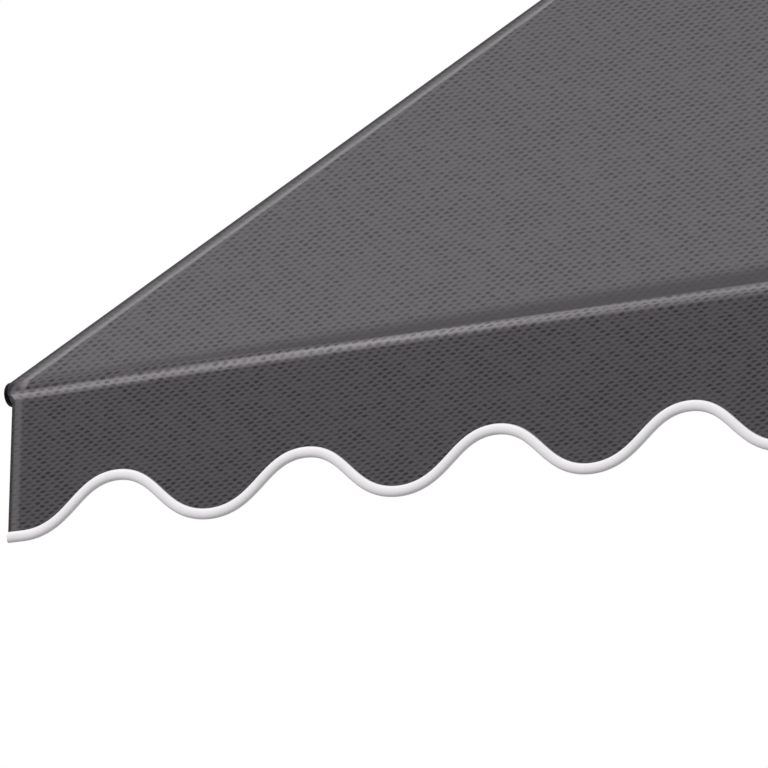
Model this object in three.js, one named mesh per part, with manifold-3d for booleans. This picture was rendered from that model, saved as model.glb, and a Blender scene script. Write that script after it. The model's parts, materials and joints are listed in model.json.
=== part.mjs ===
// Window awning with folding arms. A torsion bar on three wall brackets carries the canvas roller and
// two arms, which push the round front bar out. The canvas runs from the roller over the front bar and
// hangs down as a scalloped valance with a corded edge. A crank eye turns the roller through a gearbox.
// Millimetres. X runs along the wall, the front faces -Y, the wall is the plane y = 0 and Z is up.
// The origin is the middle of the centre wall bracket's back face.

import * as THREE from 'three';
import { mergeVertices } from 'three/addons/utils/BufferGeometryUtils.js';
import Module from 'manifold-3d';

const wasm = await Module();
wasm.setup();

// Driving dimensions

const CLEARANCE = 0.3;
const ROUND_STEPS = 20;

const CUT_REACH = 80;

const CANVAS_WIDTH = 2400;
const VALANCE_END_FLAT = 24;
const SCALLOP_COUNT = 8;
const SCALLOP_STEPS = 16;
const SCALLOP_FULLNESS = 0.7;
const CANVAS_THICKNESS = 1.2;
const CANVAS_SLOPE_DEG = 33;
const CANVAS_SLOPE_LENGTH = 1750;
const VALANCE_CREST_DROP = 125;
const VALANCE_TROUGH_DROP = 193;
const BINDING_HEIGHT = 15;
const BINDING_THICKNESS = 9;

const BAR_RADIUS = 15.5;
const BAR_WALL = 2;
const BAR_CAP_RADIUS = 16.5;
const BAR_CAP_LENGTH = 8;
const BAR_CAP_PLUG = 25;

const ROLLER_RADIUS = 30;
const ROLLER_WALL = 1.5;
const ROLL_THICKNESS = 3;
const ROLLER_OVERHANG = 18;
const ROLLER_Y = -85;
const ROLLER_Z = 85;
const ROLLER_PLUG_LENGTH = 40;
const ROLLER_FLANGE = 4;
const ROLLER_SHAFT_RADIUS = 8;

const TORSION_SIZE = 40;
const TORSION_WALL = 3;
const TORSION_Y = -45;
const TORSION_CAP_LENGTH = 4;
const TORSION_CAP_PLUG = 20;

const WALL_BRACKET_X = 900;
const WALL_BRACKET_WIDTH = 60;
const WALL_PLATE_HEIGHT = 170;
const WALL_PLATE_THICKNESS = 8;
const WALL_HOLE_SPACING = 124;
const WALL_HOLE_RADIUS = 5.5;
const WALL_GUSSET = 22;

const CLAMP_BLOCK = 60;
const CLAMP_BOLT_RADIUS = 5;
const BOLT_HEAD_RADIUS = 8.5;
const BOLT_HEAD_HEIGHT = 6;

const ROLLER_PLATE_THICKNESS = 10;
const ROLLER_PLATE_RADIUS = 28;

const SHOULDER_X = 1035;
const SHOULDER_Y = -110;
const SHOULDER_Z = -25;
const ARM_REST_DEG = 17;
const ARM_TUBE_HEIGHT = 50;
const ARM_TUBE_WIDTH = 28;
const ARM_TUBE_WALL = 2.5;
const ARM_TUBE_CORNER = 8;
const ARM_END_GAP = 34;
const ARM_END_BLOCK = 26;
const ARM_PLUG_LENGTH = 35;
const ELBOW_OFFSET = 24;
const ELBOW_RADIUS = 20;
const ELBOW_TONGUE_HALF = 9.4;
const ARM_LUG_RADIUS = 18;
const ARM_LUG_HALF = 15;
const ARM_PIN_RADIUS = 6;
const PIN_HEAD_RADIUS = 9;
const PIN_HEAD_HEIGHT = 3;
const SHOULDER_EAR_RADIUS = 22;
const SHOULDER_EAR_HALF = 28;
const BAR_TO_TIP_ALONG = 50;
const BAR_TO_TIP_UP = 20;
const FRONT_EAR_RADIUS = 18;
const FRONT_EAR_HALF = 26;
const FRONT_FOOT = 10;
const FRONT_SCREW_RADIUS = 3;
const FRONT_SCREW_HEAD_RADIUS = 6;
const FRONT_SCREW_HEAD_HEIGHT = 4;

const SPRING_LENGTH = 380;
const SPRING_TURNS = 12;
const SPRING_WIRE = 3;

const GEARBOX_SIZE = 72;
const GEARBOX_DEPTH = 46;
const GEARBOX_WALL = 3;
const GEAR_MODULE = 1;
const CROWN_TEETH = 44;
const CROWN_THICKNESS = 6;
const CROWN_FACE_WIDTH = 4;
const PINION_TEETH = 10;
const CRANK_SHAFT_RADIUS = 4;
const CRANK_EYE_RADIUS = 16;
const CRANK_EYE_WIRE = 4.5;
const CRANK_EYE_DROP = 48;

// Sizes worked out from the driving dimensions

const HALF_WIDTH = CANVAS_WIDTH / 2;
const SCALLOP_PITCH = (CANVAS_WIDTH - 2 * VALANCE_END_FLAT) / SCALLOP_COUNT;
const SLOPE = THREE.MathUtils.degToRad(CANVAS_SLOPE_DEG);
const SLOPE_DOWN = new THREE.Vector2(-Math.cos(SLOPE), -Math.sin(SLOPE));
const SLOPE_UP = new THREE.Vector2(-Math.sin(SLOPE), Math.cos(SLOPE));
const ROLL_RADIUS = ROLLER_RADIUS + CLEARANCE + ROLL_THICKNESS;
const WRAP_RADIUS = BAR_RADIUS + CLEARANCE;
const ROLLER_AXIS = new THREE.Vector2(ROLLER_Y, ROLLER_Z);
const BAR_AXIS = ROLLER_AXIS.clone()
  .addScaledVector(SLOPE_UP, ROLL_RADIUS - BAR_RADIUS)
  .addScaledVector(SLOPE_DOWN, CANVAS_SLOPE_LENGTH);

// The arms fold in one plane, which passes through the shoulders and just under the front bar.
const reach = BAR_AXIS.clone().sub(new THREE.Vector2(SHOULDER_Y, SHOULDER_Z));
const ARM_PITCH = Math.atan2(-reach.y, -reach.x) + Math.asin(BAR_TO_TIP_UP / reach.length());
const ARM_SPAN = Math.sqrt(reach.lengthSq() - BAR_TO_TIP_UP ** 2) - BAR_TO_TIP_ALONG;
const ARM_REST = THREE.MathUtils.degToRad(ARM_REST_DEG);
const LINK_LENGTH = ARM_SPAN / (2 * Math.cos(ARM_REST));
const LINK_SKEW = Math.asin(ELBOW_OFFSET / LINK_LENGTH);
const TUBE_REACH = LINK_LENGTH * Math.cos(LINK_SKEW);
const TUBE_END = TUBE_REACH - ARM_END_GAP - CLEARANCE;

const ROLLER_HALF = HALF_WIDTH + ROLLER_OVERHANG;
const ROLLER_PLATE_X = ROLLER_HALF + ROLLER_FLANGE + 2 * CLEARANCE;
const TORSION_HALF = ROLLER_PLATE_X + ROLLER_PLATE_THICKNESS + 2;
const GEARBOX_X = ROLLER_PLATE_X + ROLLER_PLATE_THICKNESS + CLEARANCE;
const CROWN_RADIUS = GEAR_MODULE * CROWN_TEETH / 2;
const PINION_RADIUS = GEAR_MODULE * PINION_TEETH / 2;
const CROWN_X = GEARBOX_X + GEARBOX_WALL + 2;
const PITCH_PLANE_X = CROWN_X + CROWN_THICKNESS + GEAR_MODULE;
const CRANK_X = PITCH_PLANE_X + PINION_RADIUS;

// Materials

function finish(name, color, roughness, metalness) {
  return new THREE.MeshStandardMaterial({ name, color, roughness, metalness });
}

const canvasGrey = finish('canvas', 0x66646a, 0.9, 0);
const bindingWhite = finish('binding', 0xf2f2f0, 0.7, 0);
const capBlack = finish('black plastic', 0x111113, 0.45, 0);
const frameGrey = finish('coated aluminium', 0x33363a, 0.5, 0.6);
const castGrey = finish('cast aluminium', 0x2b2d31, 0.55, 0.5);
const steel = finish('stainless steel', 0xb4b6b9, 0.3, 1);
const brass = finish('brass', 0xb08d4a, 0.35, 1);

// Solids

function toSolid(geometry) {
  const bare = geometry.index ? geometry.toNonIndexed() : geometry.clone();
  bare.deleteAttribute('normal');
  bare.deleteAttribute('uv');
  const merged = mergeVertices(bare, 1e-4);
  return new wasm.Manifold(new wasm.Mesh({
    numProp: 3,
    vertProperties: Float32Array.from(merged.attributes.position.array),
    triVerts: Uint32Array.from(merged.index.array),
  }));
}

function toGeometry(solid) {
  const mesh = solid.getMesh();
  const geometry = new THREE.BufferGeometry();
  geometry.setAttribute('position', new THREE.BufferAttribute(Float32Array.from(mesh.vertProperties), 3));
  geometry.setIndex(new THREE.BufferAttribute(Uint32Array.from(mesh.triVerts), 1));
  geometry.computeVertexNormals();
  return geometry;
}

function join(...geometries) {
  return geometries.map(toSolid).reduce((sum, solid) => sum.add(solid));
}

function cut(body, ...tools) {
  const start = body instanceof THREE.BufferGeometry ? toSolid(body) : body;
  return toGeometry(tools.map(toSolid).reduce((rest, tool) => rest.subtract(tool), start));
}

function block(xRange, yRange, zRange) {
  const size = [xRange, yRange, zRange].map(([low, high]) => high - low);
  const middle = [xRange, yRange, zRange].map(([low, high]) => (low + high) / 2);
  return new THREE.BoxGeometry(...size).translate(...middle);
}

// A rod between two places on an axis that is parallel to x, y or z and passes through (a, b), the
// other two coordinates in x, y, z order.
function rod(axis, radius, from, to, a = 0, b = 0, steps = ROUND_STEPS) {
  const geometry = new THREE.CylinderGeometry(radius, radius, Math.abs(to - from), steps);
  const middle = (from + to) / 2;
  if (axis === 'x') return geometry.rotateZ(Math.PI / 2).translate(middle, a, b);
  if (axis === 'y') return geometry.translate(a, middle, b);
  return geometry.rotateX(Math.PI / 2).translate(a, b, middle);
}

// An outline drawn in y and z, pushed along x.
function pushAlongX(points, from, to) {
  const shape = new THREE.Shape(points.map(([y, z]) => new THREE.Vector2(y, z)));
  const geometry = new THREE.ExtrudeGeometry(shape, { depth: to - from, bevelEnabled: false });
  return geometry.rotateX(Math.PI / 2).rotateZ(Math.PI / 2).translate(from, 0, 0);
}

function square(size) {
  return [-size / 2, size / 2];
}

function shift([low, high], by) {
  return [low + by, high + by];
}

function roundedRectangle(width, height, radius) {
  const [x, y] = [width / 2 - radius, height / 2 - radius];
  const shape = new THREE.Shape();
  shape.absarc(x, y, radius, 0, Math.PI / 2);
  shape.absarc(-x, y, radius, Math.PI / 2, Math.PI);
  shape.absarc(-x, -y, radius, Math.PI, 1.5 * Math.PI);
  shape.absarc(x, -y, radius, 1.5 * Math.PI, 2 * Math.PI);
  return shape;
}

const awning = new THREE.Group();

function place(name, geometry, material, parent = awning) {
  const mesh = new THREE.Mesh(geometry, material);
  mesh.name = name;
  parent.add(mesh);
  return mesh;
}

// Torsion bar: a square tube with plastic end caps

const torsionY = shift(square(TORSION_SIZE), TORSION_Y);
const torsionHole = [shift(square(TORSION_SIZE + 2 * CLEARANCE), TORSION_Y), square(TORSION_SIZE + 2 * CLEARANCE)];
const torsionBore = TORSION_SIZE - 2 * TORSION_WALL;
place('torsion_bar', cut(
  block([-TORSION_HALF, TORSION_HALF], torsionY, square(TORSION_SIZE)),
  block([-TORSION_HALF - 1, TORSION_HALF + 1], shift(square(torsionBore), TORSION_Y), square(torsionBore)),
), frameGrey);

for (const [side, sign] of [['left', -1], ['right', 1]]) {
  const flange = [sign * (TORSION_HALF + CLEARANCE), sign * (TORSION_HALF + CLEARANCE + TORSION_CAP_LENGTH)];
  const plug = [sign * (TORSION_HALF - TORSION_CAP_PLUG), flange[1]];
  const plugSize = torsionBore - 2 * CLEARANCE;
  place(`torsion_cap_${side}`, toGeometry(join(
    block(flange.sort((a, b) => a - b), torsionY, square(TORSION_SIZE)),
    block(plug.sort((a, b) => a - b), shift(square(plugSize), TORSION_Y), square(plugSize)),
  )), capBlack);
}

// Wall brackets: a plate with two fixing holes, gussets and a clamp block round the torsion bar

function clampBolt(x, up) {
  const face = up * (CLAMP_BLOCK / 2 + CLEARANCE);
  return toGeometry(join(
    rod('z', BOLT_HEAD_RADIUS, face, face + up * BOLT_HEAD_HEIGHT, x, TORSION_Y, 6),
    rod('z', CLAMP_BOLT_RADIUS, up * (TORSION_SIZE / 2 + CLEARANCE), face + up * 1, x, TORSION_Y),
  ));
}

function clampBoltHole(x, up) {
  return rod('z', CLAMP_BOLT_RADIUS + CLEARANCE, 0, up * CLAMP_BLOCK, x, TORSION_Y);
}

for (const [name, x] of [['left', -WALL_BRACKET_X], ['centre', 0], ['right', WALL_BRACKET_X]]) {
  const halfPlate = WALL_PLATE_HEIGHT / 2;
  const blockBack = TORSION_Y + CLAMP_BLOCK / 2;
  const outline = [
    [0, -halfPlate], [0, halfPlate], [-WALL_PLATE_THICKNESS, halfPlate],
    [-WALL_PLATE_THICKNESS, CLAMP_BLOCK / 2 + WALL_GUSSET / 2], [blockBack, CLAMP_BLOCK / 2],
    [TORSION_Y - CLAMP_BLOCK / 2, CLAMP_BLOCK / 2], [TORSION_Y - CLAMP_BLOCK / 2, -CLAMP_BLOCK / 2],
    [blockBack, -CLAMP_BLOCK / 2], [-WALL_PLATE_THICKNESS, -CLAMP_BLOCK / 2 - WALL_GUSSET / 2],
    [-WALL_PLATE_THICKNESS, -halfPlate],
  ];
  const width = shift(square(WALL_BRACKET_WIDTH), x);
  const holes = [-1, 1].map((up) => rod(
    'y', WALL_HOLE_RADIUS, -WALL_PLATE_THICKNESS - 1, 1, x, up * WALL_HOLE_SPACING / 2));
  place(`wall_bracket_${name}`, cut(
    pushAlongX(outline, ...width),
    block(shift(square(WALL_BRACKET_WIDTH + 2), x), ...torsionHole),
    clampBoltHole(x, -1),
    ...holes,
  ), castGrey);
  place(`wall_bracket_bolt_${name}`, clampBolt(x, -1), steel);
}

// Roller brackets: plates on the torsion bar that carry the roller's ends

function discOutline(y, z, radius, steps) {
  const points = [];
  for (let i = 0; i < steps; i += 1) {
    const angle = 2 * Math.PI * i / steps;
    points.push([y + radius * Math.cos(angle), z + radius * Math.sin(angle)]);
  }
  return points;
}

for (const [side, sign] of [['left', -1], ['right', 1]]) {
  const ends = [sign * ROLLER_PLATE_X, sign * (ROLLER_PLATE_X + ROLLER_PLATE_THICKNESS)].sort((a, b) => a - b);
  const half = CLAMP_BLOCK / 2;
  const neck = [
    [TORSION_Y - half, half - 1], [TORSION_Y + half, half - 1], [ROLLER_Y + ROLLER_PLATE_RADIUS, ROLLER_Z],
    [ROLLER_Y - ROLLER_PLATE_RADIUS, ROLLER_Z],
  ];
  place(`roller_bracket_${side}`, cut(
    join(
      block(ends, shift(square(CLAMP_BLOCK), TORSION_Y), square(CLAMP_BLOCK)),
      pushAlongX(neck, ...ends),
      pushAlongX(discOutline(ROLLER_Y, ROLLER_Z, ROLLER_PLATE_RADIUS, ROUND_STEPS), ...ends),
    ),
    block([ends[0] - 1, ends[1] + 1], ...torsionHole),
    rod('x', ROLLER_SHAFT_RADIUS + CLEARANCE, ends[0] - 1, ends[1] + 1, ROLLER_Y, ROLLER_Z),
  ), castGrey);
}

// Roller: an aluminium tube with a plug in each end, and the turns of canvas that stay on it

function sleeve(outer, inner, half) {
  return cut(
    rod('x', outer, -half, half, ROLLER_Y, ROLLER_Z),
    rod('x', inner, -half - 1, half + 1, ROLLER_Y, ROLLER_Z),
  );
}

place('roller_tube', sleeve(ROLLER_RADIUS, ROLLER_RADIUS - ROLLER_WALL, ROLLER_HALF), frameGrey);
place('fabric_roll', sleeve(ROLL_RADIUS, ROLLER_RADIUS + CLEARANCE, HALF_WIDTH), canvasGrey);

const plugInner = ROLLER_HALF - ROLLER_PLUG_LENGTH;
const plugFace = ROLLER_HALF + CLEARANCE;
const shaftEnd = ROLLER_PLATE_X + ROLLER_PLATE_THICKNESS - 1;
const driveEnd = PITCH_PLANE_X + 2;
const plugRadius = ROLLER_RADIUS - ROLLER_WALL - CLEARANCE;
place('roller_plug_left', toGeometry(join(
  rod('x', plugRadius, -plugInner, -plugFace - 1, ROLLER_Y, ROLLER_Z),
  rod('x', ROLLER_RADIUS, -plugFace, -plugFace - ROLLER_FLANGE, ROLLER_Y, ROLLER_Z),
  rod('x', ROLLER_SHAFT_RADIUS, -plugInner, -shaftEnd, ROLLER_Y, ROLLER_Z),
)), capBlack);
place('roller_plug_right', toGeometry(join(
  rod('x', plugRadius, plugInner, plugFace + 1, ROLLER_Y, ROLLER_Z),
  rod('x', ROLLER_RADIUS, plugFace, plugFace + ROLLER_FLANGE, ROLLER_Y, ROLLER_Z),
  rod('x', ROLLER_SHAFT_RADIUS, plugInner, GEARBOX_X + GEARBOX_WALL, ROLLER_Y, ROLLER_Z),
  rod('x', ROLLER_SHAFT_RADIUS, GEARBOX_X, driveEnd, ROLLER_Y, ROLLER_Z, 6),
)), capBlack);

// Gearbox: a housing and its cover, a crown gear on the roller's shaft and a pinion on the crank shaft

const boxY = shift(square(GEARBOX_SIZE), ROLLER_Y);
const boxZ = shift(square(GEARBOX_SIZE), ROLLER_Z);
const boxOuter = GEARBOX_X + GEARBOX_DEPTH;
const inside = GEARBOX_SIZE - 2 * GEARBOX_WALL;
place('gearbox_housing', cut(
  block([GEARBOX_X, boxOuter], boxY, boxZ),
  block([GEARBOX_X + GEARBOX_WALL, boxOuter + 1], shift(square(inside), ROLLER_Y), shift(square(inside), ROLLER_Z)),
  rod('x', ROLLER_SHAFT_RADIUS + CLEARANCE, GEARBOX_X - 1, GEARBOX_X + GEARBOX_WALL + 1, ROLLER_Y, ROLLER_Z),
  rod('z', CRANK_SHAFT_RADIUS + CLEARANCE, boxZ[0] - 1, boxZ[0] + GEARBOX_WALL + 1, CRANK_X, ROLLER_Y),
), capBlack);

const lid = boxOuter + CLEARANCE;
place('gearbox_cover', toGeometry(join(
  block([lid, lid + GEARBOX_WALL], boxY, boxZ),
  block([lid - 4, lid + 1], shift(square(inside - 2 * CLEARANCE), ROLLER_Y),
    shift(square(inside - 2 * CLEARANCE), ROLLER_Z)),
)), capBlack);

// Each tooth is a bar with a narrow crest, its root sunk into the blank.
function toothProfile(rootHalf, crestHalf, from, to) {
  return [[-rootHalf, from], [rootHalf, from], [crestHalf, to], [-crestHalf, to]];
}

function prism(points, depth) {
  const shape = new THREE.Shape(points.map(([a, b]) => new THREE.Vector2(a, b)));
  return new THREE.ExtrudeGeometry(shape, { depth, bevelEnabled: false });
}

function crownGear() {
  const blank = rod('x', CROWN_RADIUS + CROWN_FACE_WIDTH / 2, 0, CROWN_THICKNESS, 0, 0, CROWN_TEETH);
  const teeth = [];
  for (let i = 0; i < CROWN_TEETH; i += 1) {
    const angle = 2 * Math.PI * (i + 0.5) / CROWN_TEETH;
    const profile = toothProfile(0.72 * GEAR_MODULE, 0.32 * GEAR_MODULE, -1, 1.7 * GEAR_MODULE);
    teeth.push(prism(profile, CROWN_FACE_WIDTH)
      .rotateX(Math.PI).rotateZ(-Math.PI / 2)
      .translate(CROWN_THICKNESS, 0, -CROWN_RADIUS + CROWN_FACE_WIDTH / 2)
      .rotateX(angle));
  }
  const bore = rod('x', ROLLER_SHAFT_RADIUS + CLEARANCE, -1, CROWN_THICKNESS + 1, 0, 0, 6);
  return cut(join(blank, ...teeth), bore).translate(CROWN_X, ROLLER_Y, ROLLER_Z);
}

function pinion() {
  const shape = new THREE.Shape();
  const root = PINION_RADIUS - 1.2 * GEAR_MODULE;
  const tip = PINION_RADIUS + 0.9 * GEAR_MODULE;
  const flank = [[root, -0.9], [root, -0.8], [tip, -0.3], [tip, 0.3], [root, 0.8], [root, 0.9]];
  for (let i = 0; i < PINION_TEETH; i += 1) {
    for (const [radius, half] of flank) {
      const angle = Math.PI + 2 * Math.PI * i / PINION_TEETH + half * GEAR_MODULE / radius;
      shape.lineTo(radius * Math.cos(angle), radius * Math.sin(angle));
    }
  }
  const points = shape.getPoints().slice(1);
  const faceLow = ROLLER_Z - CROWN_RADIUS - CROWN_FACE_WIDTH / 2;
  return prism(points.map(({ x, y }) => [x, y]), CROWN_FACE_WIDTH).translate(CRANK_X, ROLLER_Y, faceLow);
}

place('crown_gear', crownGear(), brass);

const eyeZ = -CRANK_EYE_DROP;
const pinionLow = ROLLER_Z - CROWN_RADIUS - CROWN_FACE_WIDTH / 2;
const pinionHole = rod('z', 2 + CLEARANCE, pinionLow - 1, pinionLow + CROWN_FACE_WIDTH + 1, CRANK_X, ROLLER_Y, 12);
place('pinion', cut(pinion(), pinionHole), steel);
place('crank_eye', toGeometry(join(
  rod('z', 2, pinionLow - 2, pinionLow + CROWN_FACE_WIDTH + 1, CRANK_X, ROLLER_Y, 12),
  rod('z', CRANK_SHAFT_RADIUS, eyeZ + CRANK_EYE_RADIUS - 1, pinionLow - CLEARANCE, CRANK_X, ROLLER_Y),
  new THREE.TorusGeometry(CRANK_EYE_RADIUS, CRANK_EYE_WIRE, 8, ROUND_STEPS)
    .rotateX(Math.PI / 2).translate(CRANK_X, ROLLER_Y, eyeZ),
)), steel);

// Canvas: the slope from the roll to the front bar, then the valance over the bar and down

function alongSlope(distance, height) {
  const point = ROLLER_AXIS.clone()
    .addScaledVector(SLOPE_UP, ROLL_RADIUS + CLEARANCE + height)
    .addScaledVector(SLOPE_DOWN, distance);
  return [point.x, point.y];
}

place('canopy', pushAlongX([
  alongSlope(0, 0), alongSlope(CANVAS_SLOPE_LENGTH - CLEARANCE, 0),
  alongSlope(CANVAS_SLOPE_LENGTH - CLEARANCE, CANVAS_THICKNESS), alongSlope(0, CANVAS_THICKNESS),
], -HALF_WIDTH, HALF_WIDTH), canvasGrey);

const TROUGH_Z = BAR_AXIS.y - VALANCE_TROUGH_DROP;
const WAVE_HALF = (VALANCE_TROUGH_DROP - VALANCE_CREST_DROP) / 2;

// A wave between -1 and 1 whose crests and troughs are fuller than a cosine's.
function fullWave(angle) {
  const swing = Math.cos(angle);
  const fullness = SCALLOP_FULLNESS ** 2;
  return swing * Math.sqrt((1 + fullness) / (1 + fullness * swing ** 2));
}

// The valance's cut edge, lowered by drop: scallops between a short flat run at each end.
function waveLine(drop) {
  const line = [[-HALF_WIDTH, TROUGH_Z - drop]];
  for (let i = 0; i <= SCALLOP_COUNT * SCALLOP_STEPS; i += 1) {
    const x = -HALF_WIDTH + VALANCE_END_FLAT + i * SCALLOP_PITCH / SCALLOP_STEPS;
    const rise = WAVE_HALF * (1 - fullWave(2 * Math.PI * i / SCALLOP_STEPS));
    line.push([x, TROUGH_Z + rise - drop]);
  }
  line.push([HALF_WIDTH, TROUGH_Z - drop]);
  return line;
}

// A flat piece outlined in x and z, with its front at y and its thickness towards the wall.
function upright(points, y, thickness) {
  return prism(points, thickness).rotateX(Math.PI / 2).translate(0, y + thickness, 0);
}

function wrapProfile() {
  const outer = WRAP_RADIUS + CANVAS_THICKNESS;
  const points = [];
  const top = Math.PI / 2 + SLOPE;
  const steps = 8;
  for (const [radius, from, to] of [[WRAP_RADIUS, top, Math.PI], [outer, Math.PI, top]]) {
    for (let i = 0; i <= steps; i += 1) {
      const angle = from + (to - from) * i / steps;
      points.push([BAR_AXIS.x + radius * Math.cos(angle), BAR_AXIS.y + radius * Math.sin(angle)]);
    }
  }
  return points;
}

const VALANCE_FRONT = BAR_AXIS.x - WRAP_RADIUS - CANVAS_THICKNESS;
place('valance', toGeometry(join(
  pushAlongX(wrapProfile(), -HALF_WIDTH, HALF_WIDTH),
  upright([[-HALF_WIDTH, BAR_AXIS.y + 1], ...waveLine(0), [HALF_WIDTH, BAR_AXIS.y + 1]],
    VALANCE_FRONT, CANVAS_THICKNESS),
)), canvasGrey);

place('valance_binding', upright(
  [...waveLine(CLEARANCE), ...waveLine(BINDING_HEIGHT).reverse()],
  VALANCE_FRONT + (CANVAS_THICKNESS - BINDING_THICKNESS) / 2, BINDING_THICKNESS,
), bindingWhite);

// Arms: everything below is drawn in the arms' plane, where -y is outward and z is square to the plane

const armPlane = new THREE.Group();
armPlane.position.set(0, SHOULDER_Y, SHOULDER_Z);
armPlane.rotation.x = ARM_PITCH;
awning.add(armPlane);

// The point where a line from outside touches a circle, on the side given by turn.
function touchPoint(centre, radius, from, turn) {
  const away = Math.atan2(from[1] - centre[1], from[0] - centre[0]);
  const half = Math.acos(radius / Math.hypot(from[0] - centre[0], from[1] - centre[1]));
  const angle = away + turn * half;
  return [centre[0] + radius * Math.cos(angle), centre[1] + radius * Math.sin(angle)];
}

// A lug round a pivot that runs into a block of the tube's width, both of one height.
function lug(pivot, radius, blockFrom, blockTo, half) {
  const low = [-ARM_TUBE_WIDTH / 2, blockFrom];
  const high = [ARM_TUBE_WIDTH / 2, blockFrom];
  const turn = Math.sign(blockFrom - pivot[1]);
  const outline = [
    low, [low[0], blockTo], [high[0], blockTo], high,
    touchPoint(pivot, radius, high, -turn), pivot, touchPoint(pivot, radius, low, turn),
  ];
  return [
    prism(outline, 2 * half).translate(0, 0, -half),
    rod('z', radius, -half, half, ...pivot),
  ];
}

function tubePlug(from, to) {
  const inset = 2 * (ARM_TUBE_WALL + CLEARANCE);
  const shape = roundedRectangle(ARM_TUBE_WIDTH - inset, ARM_TUBE_HEIGHT - inset, ARM_TUBE_CORNER - inset / 2);
  const [low, high] = [from, to].sort((a, b) => a - b);
  return new THREE.ExtrudeGeometry(shape, { depth: high - low, bevelEnabled: false, curveSegments: 3 })
    .rotateX(Math.PI / 2).translate(0, high, 0);
}

function armTube(outward) {
  const shape = roundedRectangle(ARM_TUBE_WIDTH, ARM_TUBE_HEIGHT, ARM_TUBE_CORNER);
  const inset = 2 * ARM_TUBE_WALL;
  shape.holes.push(roundedRectangle(
    ARM_TUBE_WIDTH - inset, ARM_TUBE_HEIGHT - inset, ARM_TUBE_CORNER - ARM_TUBE_WALL));
  const length = TUBE_END - ARM_END_GAP - CLEARANCE;
  const geometry = new THREE.ExtrudeGeometry(shape, { depth: length, bevelEnabled: false, curveSegments: 3 });
  const high = outward * (outward > 0 ? TUBE_END : ARM_END_GAP + CLEARANCE);
  return geometry.rotateX(Math.PI / 2).translate(0, high, 0);
}

function fullBlock(from, to) {
  return block(square(ARM_TUBE_WIDTH), [from, to].sort((a, b) => a - b), square(ARM_TUBE_HEIGHT));
}

function pivotHole(x, y) {
  return rod('z', ARM_PIN_RADIUS + CLEARANCE, -ARM_TUBE_HEIGHT, ARM_TUBE_HEIGHT, x, y);
}

// The end that turns in the shoulder's or the front bracket's fork.
function plainEnd(outward) {
  const along = (distance) => outward * distance;
  return cut(
    join(
      ...lug([0, 0], ARM_LUG_RADIUS, along(ARM_END_BLOCK), along(ARM_END_GAP), ARM_LUG_HALF),
      fullBlock(along(ARM_END_BLOCK), along(ARM_END_GAP)),
      tubePlug(along(ARM_END_GAP - 1), along(ARM_END_GAP + ARM_PLUG_LENGTH)),
    ),
    pivotHole(0, 0),
  );
}

// The elbow's pivot lies to the inner side of the tubes, so that they fold side by side.
function elbowEnd(outward, sign, forked) {
  const along = (distance) => outward * (TUBE_REACH - distance);
  const pivot = [sign * ELBOW_OFFSET, along(0)];
  const half = forked ? ARM_TUBE_HEIGHT / 2 : ELBOW_TONGUE_HALF;
  const body = join(
    ...lug(pivot, ELBOW_RADIUS, along(ARM_END_BLOCK), along(ARM_END_GAP), half),
    fullBlock(along(ARM_END_BLOCK), along(ARM_END_GAP)),
    tubePlug(along(ARM_END_GAP - 1), along(ARM_END_GAP + ARM_PLUG_LENGTH)),
  );
  const slot = ELBOW_TONGUE_HALF + CLEARANCE;
  const gapAlong = [along(ARM_END_BLOCK - 1), along(-CUT_REACH)].sort((a, b) => a - b);
  const gap = block(square(2 * CUT_REACH), gapAlong, [-slot, slot]);
  const cuts = forked ? [gap, pivotHole(...pivot)] : [pivotHole(...pivot)];
  return cut(body, ...cuts);
}

function pin(x, y, half) {
  const face = half + CLEARANCE;
  return toGeometry(join(
    rod('z', ARM_PIN_RADIUS, -half, face + 1, x, y),
    rod('z', PIN_HEAD_RADIUS, face, face + PIN_HEAD_HEIGHT, x, y),
  ));
}

class Helix extends THREE.Curve {
  constructor(radius, length, turns) {
    super();
    this.radius = radius;
    this.length = length;
    this.turns = turns;
  }

  getPoint(t, target = new THREE.Vector3()) {
    const angle = 2 * Math.PI * this.turns * t;
    return target.set(this.radius * Math.cos(angle), this.length * t, this.radius * Math.sin(angle));
  }
}

// The spring that keeps the canvas tight lies in the forearm's tube, next to the tip end's plug.
function tensionSpring() {
  const bore = ARM_TUBE_WIDTH - 2 * ARM_TUBE_WALL;
  const radius = (bore - SPRING_WIRE) / 2 - CLEARANCE;
  const wire = new THREE.Shape();
  const sides = 5;
  for (let i = 0; i < sides; i += 1) {
    const angle = 2 * Math.PI * i / sides;
    wire.lineTo(SPRING_WIRE / 2 * Math.cos(angle), SPRING_WIRE / 2 * Math.sin(angle));
  }
  const path = new Helix(radius, SPRING_LENGTH, SPRING_TURNS);
  const section = new THREE.Shape(wire.getPoints().slice(1));
  const start = ARM_END_GAP + ARM_PLUG_LENGTH + CLEARANCE + SPRING_WIRE / 2;
  return new THREE.ExtrudeGeometry(section, {
    extrudePath: path, steps: SPRING_TURNS * 8, bevelEnabled: false,
  }).translate(0, start, 0);
}

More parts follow.
